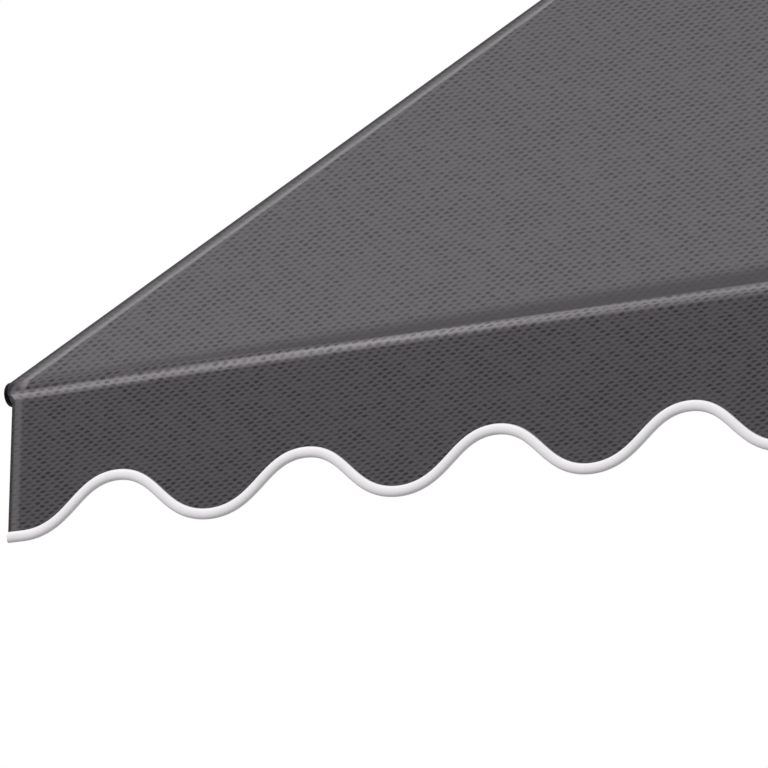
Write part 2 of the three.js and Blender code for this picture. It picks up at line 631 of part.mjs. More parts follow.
// Root side of the shoulder: a clamp block on the torsion bar and a fork in the arms' plane.
function armBracket(x) {
  const toTorsion = new THREE.Vector2(TORSION_Y - SHOULDER_Y, -SHOULDER_Z);
  const away = toTorsion.x * Math.cos(ARM_PITCH) + toTorsion.y * Math.sin(ARM_PITCH);
  const forkBack = ARM_LUG_RADIUS + 2;
  const width = shift(square(2 * SHOULDER_EAR_RADIUS), x);
  const ears = rod('z', SHOULDER_EAR_RADIUS, -SHOULDER_EAR_HALF, SHOULDER_EAR_HALF, x, 0);
  const web = block(width, [0, away - TORSION_SIZE / 4], square(2 * SHOULDER_EAR_HALF));
  const slotHalf = ARM_LUG_HALF + CLEARANCE;
  const slot = block(shift(square(2 * CUT_REACH), x), [-CUT_REACH, forkBack], [-slotHalf, slotHalf]);
  const toWorld = new THREE.Matrix4().makeRotationX(ARM_PITCH).setPosition(0, SHOULDER_Y, SHOULDER_Z);
  for (const piece of [ears, web, slot]) piece.applyMatrix4(toWorld);
  const hole = pivotHole(x, 0).applyMatrix4(toWorld);
  const clamp = block(width, shift(square(CLAMP_BLOCK), TORSION_Y), square(CLAMP_BLOCK));
  const torsion = block(shift(square(CLAMP_BLOCK * 2), x), ...torsionHole);
  return cut(join(ears, web, clamp), slot, hole, torsion, clampBoltHole(x, 1));
}

// Front side of the forearm's tip: a fork, a web and a foot that the front bar lies in.
function frontBracket(barY) {
  const width = square(2 * FRONT_EAR_RADIUS);
  const height = square(2 * FRONT_EAR_HALF);
  const slotHalf = ARM_LUG_HALF + CLEARANCE;
  return cut(
    join(
      rod('z', FRONT_EAR_RADIUS, -FRONT_EAR_HALF, FRONT_EAR_HALF),
      block(width, [barY + BAR_RADIUS / 2, 0], height),
      block(width, [barY - FRONT_FOOT, barY + BAR_RADIUS], [-FRONT_EAR_HALF, BAR_TO_TIP_UP - BAR_RADIUS / 2]),
    ),
    block(square(2 * CUT_REACH), [-ARM_LUG_RADIUS - 1.5, CUT_REACH], [-slotHalf, slotHalf]),
    pivotHole(0, 0),
    rod('x', BAR_RADIUS + CLEARANCE, -CUT_REACH, CUT_REACH, barY, BAR_TO_TIP_UP),
    rod('z', FRONT_SCREW_RADIUS + CLEARANCE, -ARM_TUBE_HEIGHT, ARM_TUBE_HEIGHT, 0, barY),
  );
}

function frontScrew(barY) {
  const face = -FRONT_EAR_HALF - CLEARANCE;
  const tip = BAR_TO_TIP_UP - BAR_RADIUS + BAR_WALL + 4;
  return toGeometry(join(
    rod('z', FRONT_SCREW_HEAD_RADIUS, face - FRONT_SCREW_HEAD_HEIGHT, face, 0, barY),
    rod('z', FRONT_SCREW_RADIUS, face - 1, tip, 0, barY),
  ));
}

for (const [side, sign] of [['left', -1], ['right', 1]]) {
  const x = sign * SHOULDER_X;
  place(`arm_bracket_${side}`, armBracket(x), castGrey);
  place(`arm_bracket_bolt_${side}`, clampBolt(x, 1), steel);
  place(`shoulder_pin_${side}`, pin(x, 0, SHOULDER_EAR_HALF), steel, armPlane);

  const upperArm = new THREE.Group();
  upperArm.position.set(x, 0, 0);
  upperArm.rotation.z = -sign * (ARM_REST + LINK_SKEW);
  armPlane.add(upperArm);
  place(`shoulder_end_${side}`, plainEnd(-1), castGrey, upperArm);
  place(`upper_arm_${side}`, armTube(-1), frameGrey, upperArm);
  place(`elbow_fork_${side}`, elbowEnd(-1, sign, true), castGrey, upperArm);
  place(`elbow_pin_${side}`, pin(sign * ELBOW_OFFSET, -TUBE_REACH, ARM_TUBE_HEIGHT / 2), steel, upperArm);

  const forearm = new THREE.Group();
  forearm.position.set(x, -ARM_SPAN, 0);
  forearm.rotation.z = sign * (ARM_REST + LINK_SKEW);
  armPlane.add(forearm);
  place(`elbow_tongue_${side}`, elbowEnd(1, sign, false), castGrey, forearm);
  place(`forearm_${side}`, armTube(1), frameGrey, forearm);
  place(`forearm_tip_${side}`, plainEnd(1), castGrey, forearm);
  place(`tension_spring_${side}`, tensionSpring(), steel, forearm);

  const tip = new THREE.Group();
  tip.position.set(x, -ARM_SPAN, 0);
  armPlane.add(tip);
  place(`front_bracket_${side}`, frontBracket(-BAR_TO_TIP_ALONG), castGrey, tip);
  place(`front_pin_${side}`, pin(0, 0, FRONT_EAR_HALF), steel, tip);
  place(`front_screw_${side}`, frontScrew(-BAR_TO_TIP_ALONG), steel, tip);
}

// Front bar: a round tube with a black cap in each end

function screwHole(x) {
  const reachDown = 2 * BAR_RADIUS;
  return rod('z', FRONT_SCREW_RADIUS + CLEARANCE, -reachDown, 0)
    .rotateX(ARM_PITCH).translate(x, BAR_AXIS.x, BAR_AXIS.y);
}

place('front_bar', cut(
  rod('x', BAR_RADIUS, -HALF_WIDTH, HALF_WIDTH, BAR_AXIS.x, BAR_AXIS.y),
  rod('x', BAR_RADIUS - BAR_WALL, -HALF_WIDTH - 1, HALF_WIDTH + 1, BAR_AXIS.x, BAR_AXIS.y),
  screwHole(-SHOULDER_X),
  screwHole(SHOULDER_X),
), frameGrey);

for (const [side, sign] of [['left', -1], ['right', 1]]) {
  const face = HALF_WIDTH + CLEARANCE;
  const plug = BAR_RADIUS - BAR_WALL - CLEARANCE;
  place(`bar_cap_${side}`, toGeometry(join(
    rod('x', BAR_CAP_RADIUS, sign * face, sign * (face + BAR_CAP_LENGTH), BAR_AXIS.x, BAR_AXIS.y),
    rod('x', plug, sign * (face - BAR_CAP_PLUG), sign * (face + 1), BAR_AXIS.x, BAR_AXIS.y),
  )), capBlack);
}

export default awning;
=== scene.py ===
import math

import bmesh
import bpy
import numpy as np
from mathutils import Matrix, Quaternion, Vector
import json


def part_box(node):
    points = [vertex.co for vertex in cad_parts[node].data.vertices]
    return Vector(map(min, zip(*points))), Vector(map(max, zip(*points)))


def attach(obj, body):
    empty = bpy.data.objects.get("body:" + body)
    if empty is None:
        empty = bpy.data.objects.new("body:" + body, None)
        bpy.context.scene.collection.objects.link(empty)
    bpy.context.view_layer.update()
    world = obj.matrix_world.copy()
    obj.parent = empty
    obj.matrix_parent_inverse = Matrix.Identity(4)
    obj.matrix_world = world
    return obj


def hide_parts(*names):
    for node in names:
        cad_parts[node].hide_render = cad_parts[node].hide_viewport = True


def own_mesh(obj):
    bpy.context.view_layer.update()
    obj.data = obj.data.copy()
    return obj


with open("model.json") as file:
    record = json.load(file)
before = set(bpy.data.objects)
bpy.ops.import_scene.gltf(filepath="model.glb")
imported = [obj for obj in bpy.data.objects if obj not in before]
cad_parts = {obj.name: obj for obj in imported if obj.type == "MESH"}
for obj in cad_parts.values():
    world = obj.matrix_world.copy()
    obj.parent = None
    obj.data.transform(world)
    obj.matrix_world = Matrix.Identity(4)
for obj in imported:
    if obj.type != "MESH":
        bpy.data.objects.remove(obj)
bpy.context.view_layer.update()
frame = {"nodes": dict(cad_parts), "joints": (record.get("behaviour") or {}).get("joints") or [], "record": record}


# Wall brackets
# Three aluminium castings, each screwed to the wall through two holes. A clamp block on each one holds
# the square torsion bar, and a hexagon bolt from below locks it. All castings are powder coated.

CAST_EDGE = 0.0018
BOLT_EDGE = 0.0009
WELD_DISTANCE = 0.00002
FLAT_ANGLE = 0.5
ROUNDED_ANGLE = 32
SMOOTH_ANGLE = 35.0
CAST_SHADES = ((44, 46, 50), (58, 60, 64))
CAST_PEBBLE = 620.0
CAST_PEBBLE_DEPTH = 0.00022
CAST_ROUGHNESS = 0.5
COAT_CLOUD = 9.0
COAT_CLOUD_SHARE = 0.7
COAT_CLOUD_ROUGHNESS = 0.16
SPECK_FINENESS = 2.3
SPECK_EDGE = (0.62, 0.72)
SPECK_SHARE = 0.3
SPECK_ROUGHNESS = 0.08
STEEL_SHADES = ((150, 152, 156), (186, 188, 190))
STEEL_BLOOM = 120.0
STEEL_BLOOM_ROUGHNESS = 0.22
STEEL_ROUGHNESS = 0.24
STEEL_MARKS = 1600.0
STEEL_MARK_DEPTH = 0.00006
homes = {
    node: body
    for body, nodes in frame["record"]["behaviour"]["bodies"].items()
    for node in nodes
}


class Term:
    """A node's socket that takes part in sums: arithmetic on terms adds the Math nodes for it."""

    def __init__(self, tree, socket=None):
        self.tree = tree
        self.socket = socket

    def node(self, kind, settings=None, inputs=None, output=0):
        made = self.tree.nodes.new(kind)
        for name, value in (settings or {}).items():
            setattr(made, name, value)
        for key, value in (inputs or {}).items():
            if isinstance(value, Term):
                self.tree.links.new(value.socket, made.inputs[key])
            else:
                made.inputs[key].default_value = value
        return Term(self.tree, made.outputs[output] if len(made.outputs) else None)

    def calc(self, operation, *values):
        return self.node("ShaderNodeMath", {"operation": operation}, dict(enumerate(values)))

    def __add__(self, other):
        return self.calc("ADD", self, other)

    def __sub__(self, other):
        return self.calc("SUBTRACT", self, other)

    def __rsub__(self, other):
        return self.calc("SUBTRACT", other, self)

    def __mul__(self, other):
        return self.calc("MULTIPLY", self, other)

    def __truediv__(self, other):
        return self.calc("DIVIDE", self, other)

    __radd__ = __add__
    __rmul__ = __mul__

    def step(self, low, high):
        """0 below low and 1 above high, with a smooth rise between. It falls where low is the higher."""
        return self.node(
            "ShaderNodeMapRange",
            {"interpolation_type": "SMOOTHSTEP"},
            {"Value": self, "From Min": low, "From Max": high},
        )

    def between(self, rise, fall):
        """1 between a smooth rise and a smooth fall, each given as for step."""
        return self.step(*rise) * self.step(*fall)

    def mix(self, first, second):
        """The first colour where this term is 0, the second where it is 1."""
        return self.node("ShaderNodeMix", {"data_type": "RGBA"}, {0: self, 6: first, 7: second}, 2)

    def part(self, axis):
        """One coordinate of this vector."""
        return self.node("ShaderNodeSeparateXYZ", {}, {0: self}, axis)

    def noise(self, scale, detail=2.0):
        return self.node("ShaderNodeTexNoise", {}, {"Vector": self, "Scale": scale, "Detail": detail})

    def bump(self, distance, strength=1.0):
        return self.node(
            "ShaderNodeBump", {}, {"Height": self, "Distance": distance, "Strength": strength}, "Normal"
        )


def tint(red, green, blue):
    """A screen colour, 0 to 255 a channel, as the shader's linear colour."""
    linear = [
        c / 12.92 if c <= 0.04045 else ((c + 0.055) / 1.055) ** 2.4
        for c in (red / 255, green / 255, blue / 255)
    ]
    return (*linear, 1.0)


def finish(slot, recipe):
    """A material for a slot of the record. The recipe gives the principled shader's inputs."""
    material = bpy.data.materials.new(f"{slot} finish")
    material["slot"] = slot
    material.use_nodes = True
    material.node_tree.nodes.clear()
    blank = Term(material.node_tree)
    shader = blank.node("ShaderNodeBsdfPrincipled", {}, recipe(blank))
    blank.node("ShaderNodeOutputMaterial", {}, {"Surface": shader})
    return material


def powder_coat(shades, grain, depth, roughness):
    """Baked powder paint: an even dark tone with a faint cloudiness and a fine pebbled skin."""

    def recipe(blank):
        place = blank.node("ShaderNodeTexCoord", output="Object")
        cloud = place.noise(COAT_CLOUD, 4.0)
        pebble = place.noise(grain, 2.0)
        speck = place.noise(grain * SPECK_FINENESS, 1.0).step(*SPECK_EDGE)
        shade = cloud * COAT_CLOUD_SHARE + speck * SPECK_SHARE
        return {
            "Base Color": shade.mix(tint(*shades[0]), tint(*shades[1])),
            "Roughness": roughness + COAT_CLOUD_ROUGHNESS * (cloud - 0.5) + SPECK_ROUGHNESS * speck,
            "Metallic": 0.0,
            "Normal": pebble.bump(depth),
        }

    return recipe


def plated_steel(blank):
    """Zinc-plated steel: bright, with a soft bloom and fine turning marks."""
    place = blank.node("ShaderNodeTexCoord", output="Object")
    bloom = place.noise(STEEL_BLOOM, 4.0)
    mark = place.noise(STEEL_MARKS, 2.0)
    return {
        "Base Color": bloom.mix(tint(*STEEL_SHADES[0]), tint(*STEEL_SHADES[1])),
        "Roughness": STEEL_ROUGHNESS + STEEL_BLOOM_ROUGHNESS * bloom,
        "Metallic": 1.0,
        "Normal": mark.bump(STEEL_MARK_DEPTH),
    }


cast_coat = powder_coat(CAST_SHADES, CAST_PEBBLE, CAST_PEBBLE_DEPTH, CAST_ROUGHNESS)
cast_finish = finish("cast_aluminium", cast_coat)
steel_finish = finish("steel", plated_steel)


def fit(piece, material, *nodes):
    """Gives a piece its finish, lets it stand for these nodes and fixes it to their body."""
    piece.data.materials.clear()
    piece.data.materials.append(material)
    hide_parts(*nodes)
    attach(piece, homes[nodes[0]])
    return piece


def solid(name, shell, smooth_deg=SMOOTH_ANGLE):
    """An object made of a bmesh, smooth except where faces meet at more than smooth_deg."""
    mesh = bpy.data.meshes.new(name)
    bmesh.ops.recalc_face_normals(shell, faces=shell.faces)
    shell.to_mesh(mesh)
    shell.free()
    mesh.shade_smooth()
    mesh.set_sharp_from_angle(angle=math.radians(smooth_deg))
    piece = bpy.data.objects.new(name, mesh)
    bpy.context.scene.collection.objects.link(piece)
    return piece


def settle(piece):
    """Makes the piece's modifiers part of its mesh."""
    bpy.context.view_layer.update()
    shown = piece.evaluated_get(bpy.context.evaluated_depsgraph_get())
    mesh = bpy.data.meshes.new_from_object(shown)
    piece.modifiers.clear()
    piece.data = mesh
    return piece


def softened(node, edge, segments=2):
    """The shape of a node with its edges rounded, as a casting or a deburred cut has them."""
    shell = bmesh.new()
    shell.from_mesh(frame["nodes"][node].data)
    bmesh.ops.remove_doubles(shell, verts=shell.verts, dist=WELD_DISTANCE)
    flat = math.radians(FLAT_ANGLE)
    bmesh.ops.dissolve_limit(shell, angle_limit=flat, verts=shell.verts, edges=shell.edges)
    piece = solid(f"{node}_piece", shell)
    for layer in [a for a in piece.data.attributes if a.name == "custom_normal"]:
        piece.data.attributes.remove(layer)
    rounding = piece.modifiers.new("edges", "BEVEL")
    rounding.width = edge
    rounding.segments = segments
    rounding.limit_method = "ANGLE"
    rounding.angle_limit = math.radians(ROUNDED_ANGLE)
    rounding.harden_normals = True
    return settle(piece)


for side in ("left", "centre", "right"):
    bracket = f"wall_bracket_{side}"
    bolt = f"wall_bracket_bolt_{side}"
    fit(softened(bracket, CAST_EDGE), cast_finish, bracket)
    fit(softened(bolt, BOLT_EDGE), steel_finish, bolt)


# Torsion bar
# A square extruded aluminium tube across the whole width that carries everything else. It is powder
# coated, and black plastic caps close its ends.

TUBE_EDGE = 0.0025
CAP_EDGE = 0.0012
COAT_SHADES = ((50, 52, 56), (60, 62, 66))
COAT_PEBBLE = 900.0
COAT_PEBBLE_DEPTH = 0.00012
COAT_ROUGHNESS = 0.42
PLASTIC_SHADES = ((4, 4, 5), (12, 12, 13))
PLASTIC_CLOUD = 60.0
PLASTIC_CLOUD_SHARE = 0.6
PLASTIC_CLOUD_ROUGHNESS = 0.12
PLASTIC_GRAIN = 1500.0
PLASTIC_GRAIN_DEPTH = 0.00008
PLASTIC_ROUGHNESS = 0.36
PLASTIC_GLOSS = 0.06
RUB_SCALE = 380.0
RUB_EDGE = (0.66, 0.8)
RUB_SHARE = 0.4
RUB_ROUGHNESS = 0.12


def moulded_plastic(blank):
    """Black moulded plastic: satin, lightly grained, with a few paler rubbed specks."""
    place = blank.node("ShaderNodeTexCoord", output="Object")
    cloud = place.noise(PLASTIC_CLOUD, 3.0)
    grain = place.noise(PLASTIC_GRAIN, 2.0)
    rub = place.noise(RUB_SCALE, 3.0).step(*RUB_EDGE)
    shade = cloud * PLASTIC_CLOUD_SHARE + rub * RUB_SHARE
    return {
        "Base Color": shade.mix(tint(*PLASTIC_SHADES[0]), tint(*PLASTIC_SHADES[1])),
        "Roughness": PLASTIC_ROUGHNESS + PLASTIC_CLOUD_ROUGHNESS * cloud + RUB_ROUGHNESS * rub,
        "Specular IOR Level": PLASTIC_GLOSS,
        "Normal": grain.bump(PLASTIC_GRAIN_DEPTH),
    }


tube_coat = powder_coat(COAT_SHADES, COAT_PEBBLE, COAT_PEBBLE_DEPTH, COAT_ROUGHNESS)
coat_finish = finish("coated_aluminium", tube_coat)
plastic_finish = finish("black_plastic", moulded_plastic)

fit(softened("torsion_bar", TUBE_EDGE, 3), coat_finish, "torsion_bar")
for side in ("left", "right"):
    cap = f"torsion_cap_{side}"
    fit(softened(cap, CAP_EDGE), plastic_finish, cap)


# Shoulders
# A casting clamped on the torsion bar near each end, with a fork for the arm. A steel pin with a
# domed head goes down through the fork.

PIN_RADIUS = 0.006
PIN_HEAD_RADIUS = 0.009
PIN_HEAD_HEIGHT = 0.003
PIN_CHAMFER = 0.0008
PIN_FOOT_GROOVE = 0.0006
PIN_HEAD_EDGE = 0.0004
PIN_DIMPLE = 0.0007
PIN_DOME = ((0.0011, 0.0), (0.0004, 0.0005), (0.0001, 0.0018))
EAR_HALF = {"shoulder": 0.028, "elbow": 0.025, "front": 0.026}
SEAT_GAP = 0.0003
LATHE_STEPS = 56
pivots = {joint["name"]: Vector(joint["pos_m"]) for joint in frame["joints"]}
PIN_AXIS = Vector(frame["joints"][0]["axis"]).normalized()


def mirrored(point):
    return Vector((-point.x, point.y, point.z))


def turned(name, outline, origin, axis, steps=LATHE_STEPS, closed=False):
    """A piece turned on a lathe, from the (distance along the axis, radius) points of its outline."""
    along = Vector(axis).normalized()
    side = along.orthogonal().normalized()
    other = along.cross(side)
    shell = bmesh.new()
    rings = []
    for distance, radius in outline:
        centre = Vector(origin) + along * distance
        if radius < 1e-6:
            rings.append([shell.verts.new(centre)] * steps)
            continue
        ring = []
        for i in range(steps):
            angle = 2 * math.pi * i / steps
            outward = side * math.cos(angle) + other * math.sin(angle)
            ring.append(shell.verts.new(centre + outward * radius))
        rings.append(ring)
    pairs = list(zip(rings, rings[1:]))
    if closed:
        pairs.append((rings[-1], rings[0]))
    for ring, following in pairs:
        for i in range(steps):
            j = (i + 1) % steps
            corners = [ring[i], ring[j], following[j], following[i]]
            unique = [v for n, v in enumerate(corners) if v not in corners[:n]]
            if len(unique) > 2:
                shell.faces.new(unique)
    return solid(name, shell)


def pivot_pin(node, centre, half):
    """A turned pin: chamfered foot, shank and a domed head that stands on the ear."""
    face = half + SEAT_GAP
    top = face + PIN_HEAD_HEIGHT
    outline = [
        (-half, 0),
        (-half, PIN_RADIUS * 0.45),
        (-half + PIN_FOOT_GROOVE, PIN_RADIUS * 0.5),
        (-half, PIN_RADIUS * 0.55),
        (-half, PIN_RADIUS - PIN_CHAMFER),
        (-half + PIN_CHAMFER, PIN_RADIUS),
        (face, PIN_RADIUS),
        (face, PIN_HEAD_RADIUS - PIN_HEAD_EDGE),
        (face + PIN_HEAD_EDGE, PIN_HEAD_RADIUS),
        *((top - drop, PIN_HEAD_RADIUS - inset) for drop, inset in PIN_DOME),
        (top, PIN_HEAD_RADIUS * 0.5),
        (top - PIN_DIMPLE, PIN_HEAD_RADIUS * 0.4),
        (top - PIN_DIMPLE, 0),
    ]
    return fit(turned(f"{node}_piece", outline, centre, PIN_AXIS), steel_finish, node)


for side in ("left", "right"):
    bracket = f"arm_bracket_{side}"
    bolt = f"arm_bracket_bolt_{side}"
    fit(softened(bracket, CAST_EDGE), cast_finish, bracket)
    fit(softened(bolt, BOLT_EDGE), steel_finish, bolt)
    pivot_pin(f"shoulder_pin_{side}", pivots[f"{side}_shoulder"], EAR_HALF["shoulder"])


# Roller
# An aluminium tube between two cast plates on the torsion bar. A black plastic plug in each end runs
# in the plate, and the last turns of the canvas stay on the tube.

ROLLER_RADIUS = 0.030
ROLLER_WALL = 0.0015
ROLLER_STEPS = 72
TURNED_BURR = 0.0003
ROLL_INNER = 0.0303
ROLL_OUTER = 0.0333
ROLL_TURNS = 3
ROLL_CLOTH = 0.0008
PLUG_FLANGE = 0.004
PLUG_EDGE = 0.001
FLANGE_EDGE = 0.0006
FLANGE_ROUND = 0.0008
HUB_STEP = 0.001
HUB_INNER = 0.003
HUB_OUTER = 0.004
SHAFT_RADIUS = 0.008


def middle(node):
    low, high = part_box(node)
    return (low + high) / 2


roller_centre = middle("roller_tube")
roller_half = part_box("roller_tube")[1].x
canvas_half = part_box("fabric_roll")[1].x
ACROSS = Vector((1, 0, 0))

for side in ("left", "right"):
    plate = f"roller_bracket_{side}"
    fit(softened(plate, CAST_EDGE), cast_finish, plate)



def round_tube(half, radius, wall):
    """The outline of a sawn and deburred tube, for turned with closed."""
    return [
        (-half, radius - wall),
        (-half, radius - TURNED_BURR),
        (-half + TURNED_BURR, radius),
        (half - TURNED_BURR, radius),
        (half, radius - TURNED_BURR),
        (half, radius - wall),
    ]


roller_outline = round_tube(roller_half, ROLLER_RADIUS, ROLLER_WALL)
roller = turned("roller_tube_piece", roller_outline, roller_centre, ACROSS, ROLLER_STEPS, True)
fit(roller, coat_finish, "roller_tube")

for side, sign in (("left", -1), ("right", 1)):
    low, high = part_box(f"roller_plug_{side}")
    inner = min(abs(low.x), abs(high.x))
    outer = max(abs(low.x), abs(high.x))
    face = roller_half + SEAT_GAP
    rim = face + PLUG_FLANGE
    bore = ROLLER_RADIUS - ROLLER_WALL - SEAT_GAP
    outline = [
        (inner, 0),
        (inner, bore - PLUG_EDGE),
        (inner + PLUG_EDGE, bore),
        (face, bore),
        (face, ROLLER_RADIUS - FLANGE_EDGE),
        (face + FLANGE_EDGE, ROLLER_RADIUS),
        (rim - FLANGE_ROUND, ROLLER_RADIUS),
        (rim, ROLLER_RADIUS - PLUG_EDGE),
        (rim, SHAFT_RADIUS + HUB_OUTER),
        (rim - HUB_STEP, SHAFT_RADIUS + HUB_INNER),
        (rim - HUB_STEP, SHAFT_RADIUS),
        (outer - FLANGE_EDGE, SHAFT_RADIUS),
        (outer, SHAFT_RADIUS - FLANGE_ROUND),
        (outer, 0),
    ]
    plug = turned(f"roller_plug_{side}_piece", outline, (0, *roller_centre.yz), ACROSS * sign)
    fit(plug, plastic_finish, f"roller_plug_{side}")


# Canvas on the roller
# Three turns of coarse acrylic canvas, wound on the tube. Its weave shows as short darker dashes in
# staggered rows. The canopy and the valance are of the same cloth, so its finish also has their hems, with
# a painted highlight and painted edge shade, and the painted shade and highlight where they run over the front
# bar.

DASH_PITCH = 0.0148
DASH_HALF_LENGTH = 0.31
DASH_HALF_HEIGHT = 0.18
DASH_TILT = 0.16
DASH_BLUR = (1.35, 0.5)
DASH_LEAST = 0.6
DASH_CHANCE = 0.5
DASH_STRENGTH = 0.95
THREAD_WANDER = 0.5
THREAD_WANDER_SCALE = 3.2
ROW_DRIFT = 0.25
ROW_DRIFT_SCALE = 2.3
CLOUD_SCALE = 7.0
CLOUD_STRENGTH = 0.22
FUZZ_SCALE = 7.0
FUZZ_STRENGTH = 0.55
GROUND = (80, 76, 80)
DASH = (38, 34, 38)
ROW_LEAN = 0.517
ROW_ON_SLOPE = 0.0366
ROW_ON_BAR = 0.014
ROW_ON_VALANCE = 0.010


def dash_rows(u, v):
    """How dark a lattice of tilted dashes is, with one dash in each cell, some of them paler."""
    across = u.calc("FRACT", u) - 0.5
    down = v.calc("FRACT", v) - 0.5
    level = down + DASH_TILT * across
    wide = across / DASH_HALF_LENGTH
    high = level / DASH_HALF_HEIGHT
    column = u.calc("FLOOR", u)
    row = v.calc("FLOOR", v)
    cell = u.node("ShaderNodeCombineXYZ", {}, {0: column, 1: row}, "Vector")
    chance = u.node("ShaderNodeTexWhiteNoise", {"noise_dimensions": "2D"}, {"Vector": cell})
    radius = u.calc("SQRT", wide * wide + high * high)
    return radius.step(*DASH_BLUR) * (DASH_LEAST + DASH_CHANCE * chance)


def woven_dashes(weave):
    """Two lattices of dashes, one set halfway between the other's, as the yarns wander."""
    u = weave.part("X")
    v = weave.part("Y")
    wander = THREAD_WANDER * (weave.noise(THREAD_WANDER_SCALE, 2.0) - 0.5)
    drift = ROW_DRIFT * (weave.noise(ROW_DRIFT_SCALE, 1.0) - 0.5)
    first = dash_rows(u + wander, v + drift)
    second = dash_rows(u + 0.5 + wander, v + 0.5 + drift)
    return first.calc("MAXIMUM", first, second)


FOLD_TOP = 0.0170
FOLD_TOP_LEAN = 0.0235
FOLD_BEND_FROM = 0.55
FOLD_BEND_LEAN = 0.036
FOLD_FOOT = 0.0294
FOLD_FOOT_LEAN = 0.0206
FOLD_SPREAD = ((-0.15, 0.42), (1.2, 0.55))
FOLD_CLEAR = (0.0, 0.008)
SHADE_FROM = 0.0155
SHADE_LEAN = 0.1035
SHADE_RISE = (-0.045, 0.03)
SHADE_FALL = (0.006, -0.004)
SHADE_STRENGTH = 0.95
# Colour of the painted highlights along the fold over the bar and along the hems.
PAINTED_HIGHLIGHT = (152, 148, 152)
HIGHLIGHT_ABOVE = 0.4
HIGHLIGHT_BELOW = 0.6
HIGHLIGHT_CHANGE = (-0.002, 0.012)
HIGHLIGHT_ON_DASH = 0.5
HIGHLIGHT_LEAST = 0.45
HIGHLIGHT_PATCHES = 0.9


def bar_shade_and_highlight(cloth, inward, along, dashes, fuzz):
    """The cloth where it runs over the bar: painted shade just above the fold, and a painted highlight along it.
    """
    far_in = inward - FOLD_BEND_FROM
    bend = FOLD_BEND_LEAN * far_in.calc("MAXIMUM", far_in, 0.0)
    top = FOLD_TOP - FOLD_TOP_LEAN * inward - bend
    foot = FOLD_FOOT - FOLD_FOOT_LEAN * inward
    near = along - top.calc("MINIMUM", top, 0.0)
    # Painted shade: the cloth is darkened just above the fold, where it turns over the bar.
    above = along - SHADE_FROM + SHADE_LEAN * inward
    shade = above.step(*SHADE_RISE) * near.step(*SHADE_FALL)
    fold_shaded = (shade * SHADE_STRENGTH).mix(cloth, tint(*DASH))
    # Painted highlight: a pale band along the fold over the bar, stronger on its lower side.
    share = (along - top) / (foot - top)
    fold = share.between(*FOLD_SPREAD) * inward.step(*FOLD_CLEAR)
    height = HIGHLIGHT_ABOVE + HIGHLIGHT_BELOW * along.step(*HIGHLIGHT_CHANGE)
    fold_highlight = height * (1.0 - HIGHLIGHT_ON_DASH * dashes) * (HIGHLIGHT_LEAST + HIGHLIGHT_PATCHES * fuzz)
    return (fold * fold_highlight).mix(fold_shaded, tint(*PAINTED_HIGHLIGHT))


HEM_WIDTH = 0.0290
# Colour of the painted shade lines: the cloth's side edge and the tape's seam with the canvas.
PAINTED_SHADE_LINE = (32, 29, 33)
HEM_OUTLINE = 0.0118
OUTLINE_BLUR = 0.45
SKIRT_OUTLINE_FADE = 0.22
SLOPE_LINE = ((HEM_WIDTH * 0.47, HEM_WIDTH * 0.93), (HEM_WIDTH * 1.08, HEM_WIDTH * 0.95))
SLOPE_LINE_STRENGTH = 0.53
SKIRT_LINE = ((0.001, 0.010), (0.0195, 0.012))
SKIRT_LINE_STRENGTH = 0.21
LINE_PATCHES = 0.95


def hem_lines(cloth, inward, hanging, fuzz):
    """A painted highlight along the raised inner edge of each folded hem, and a painted shade line at the cloth's
    side edge.
    """
    # Painted highlight: a pale line along the inner edge of each hem, where the raised hem catches the light.
    slope_line = inward.between(*SLOPE_LINE) * (1 - hanging) * SLOPE_LINE_STRENGTH
    skirt_line = inward.between(*SKIRT_LINE) * hanging * SKIRT_LINE_STRENGTH
    line = (slope_line + skirt_line) * (HIGHLIGHT_LEAST + LINE_PATCHES * fuzz)
    lined = line.mix(cloth, tint(*PAINTED_HIGHLIGHT))
    # Painted shade: a dark outline along the cloth's side edge.
    rim = (inward * (1 + hanging)).step(HEM_OUTLINE, HEM_OUTLINE * OUTLINE_BLUR)
    return (rim * (1 - SKIRT_OUTLINE_FADE * hanging)).mix(lined, tint(*PAINTED_SHADE_LINE))


SKIRT_START = (0.008, 0.022)
SKIRT_HEM = 0.6
HEM_BLUR = 0.004
HEM_FADE = 0.4
CANVAS_ROUGHNESS = 0.86
DASH_ROUGHNESS = 0.1
FUZZ_RELIEF = 0.5
DASH_RELIEF = 0.45
WEAVE_RELIEF = 0.0005
WEAVE_RELIEF_STRENGTH = 0.8
CANVAS_SHEEN = 0.05
CANVAS_SHEEN_ROUGHNESS = 0.5


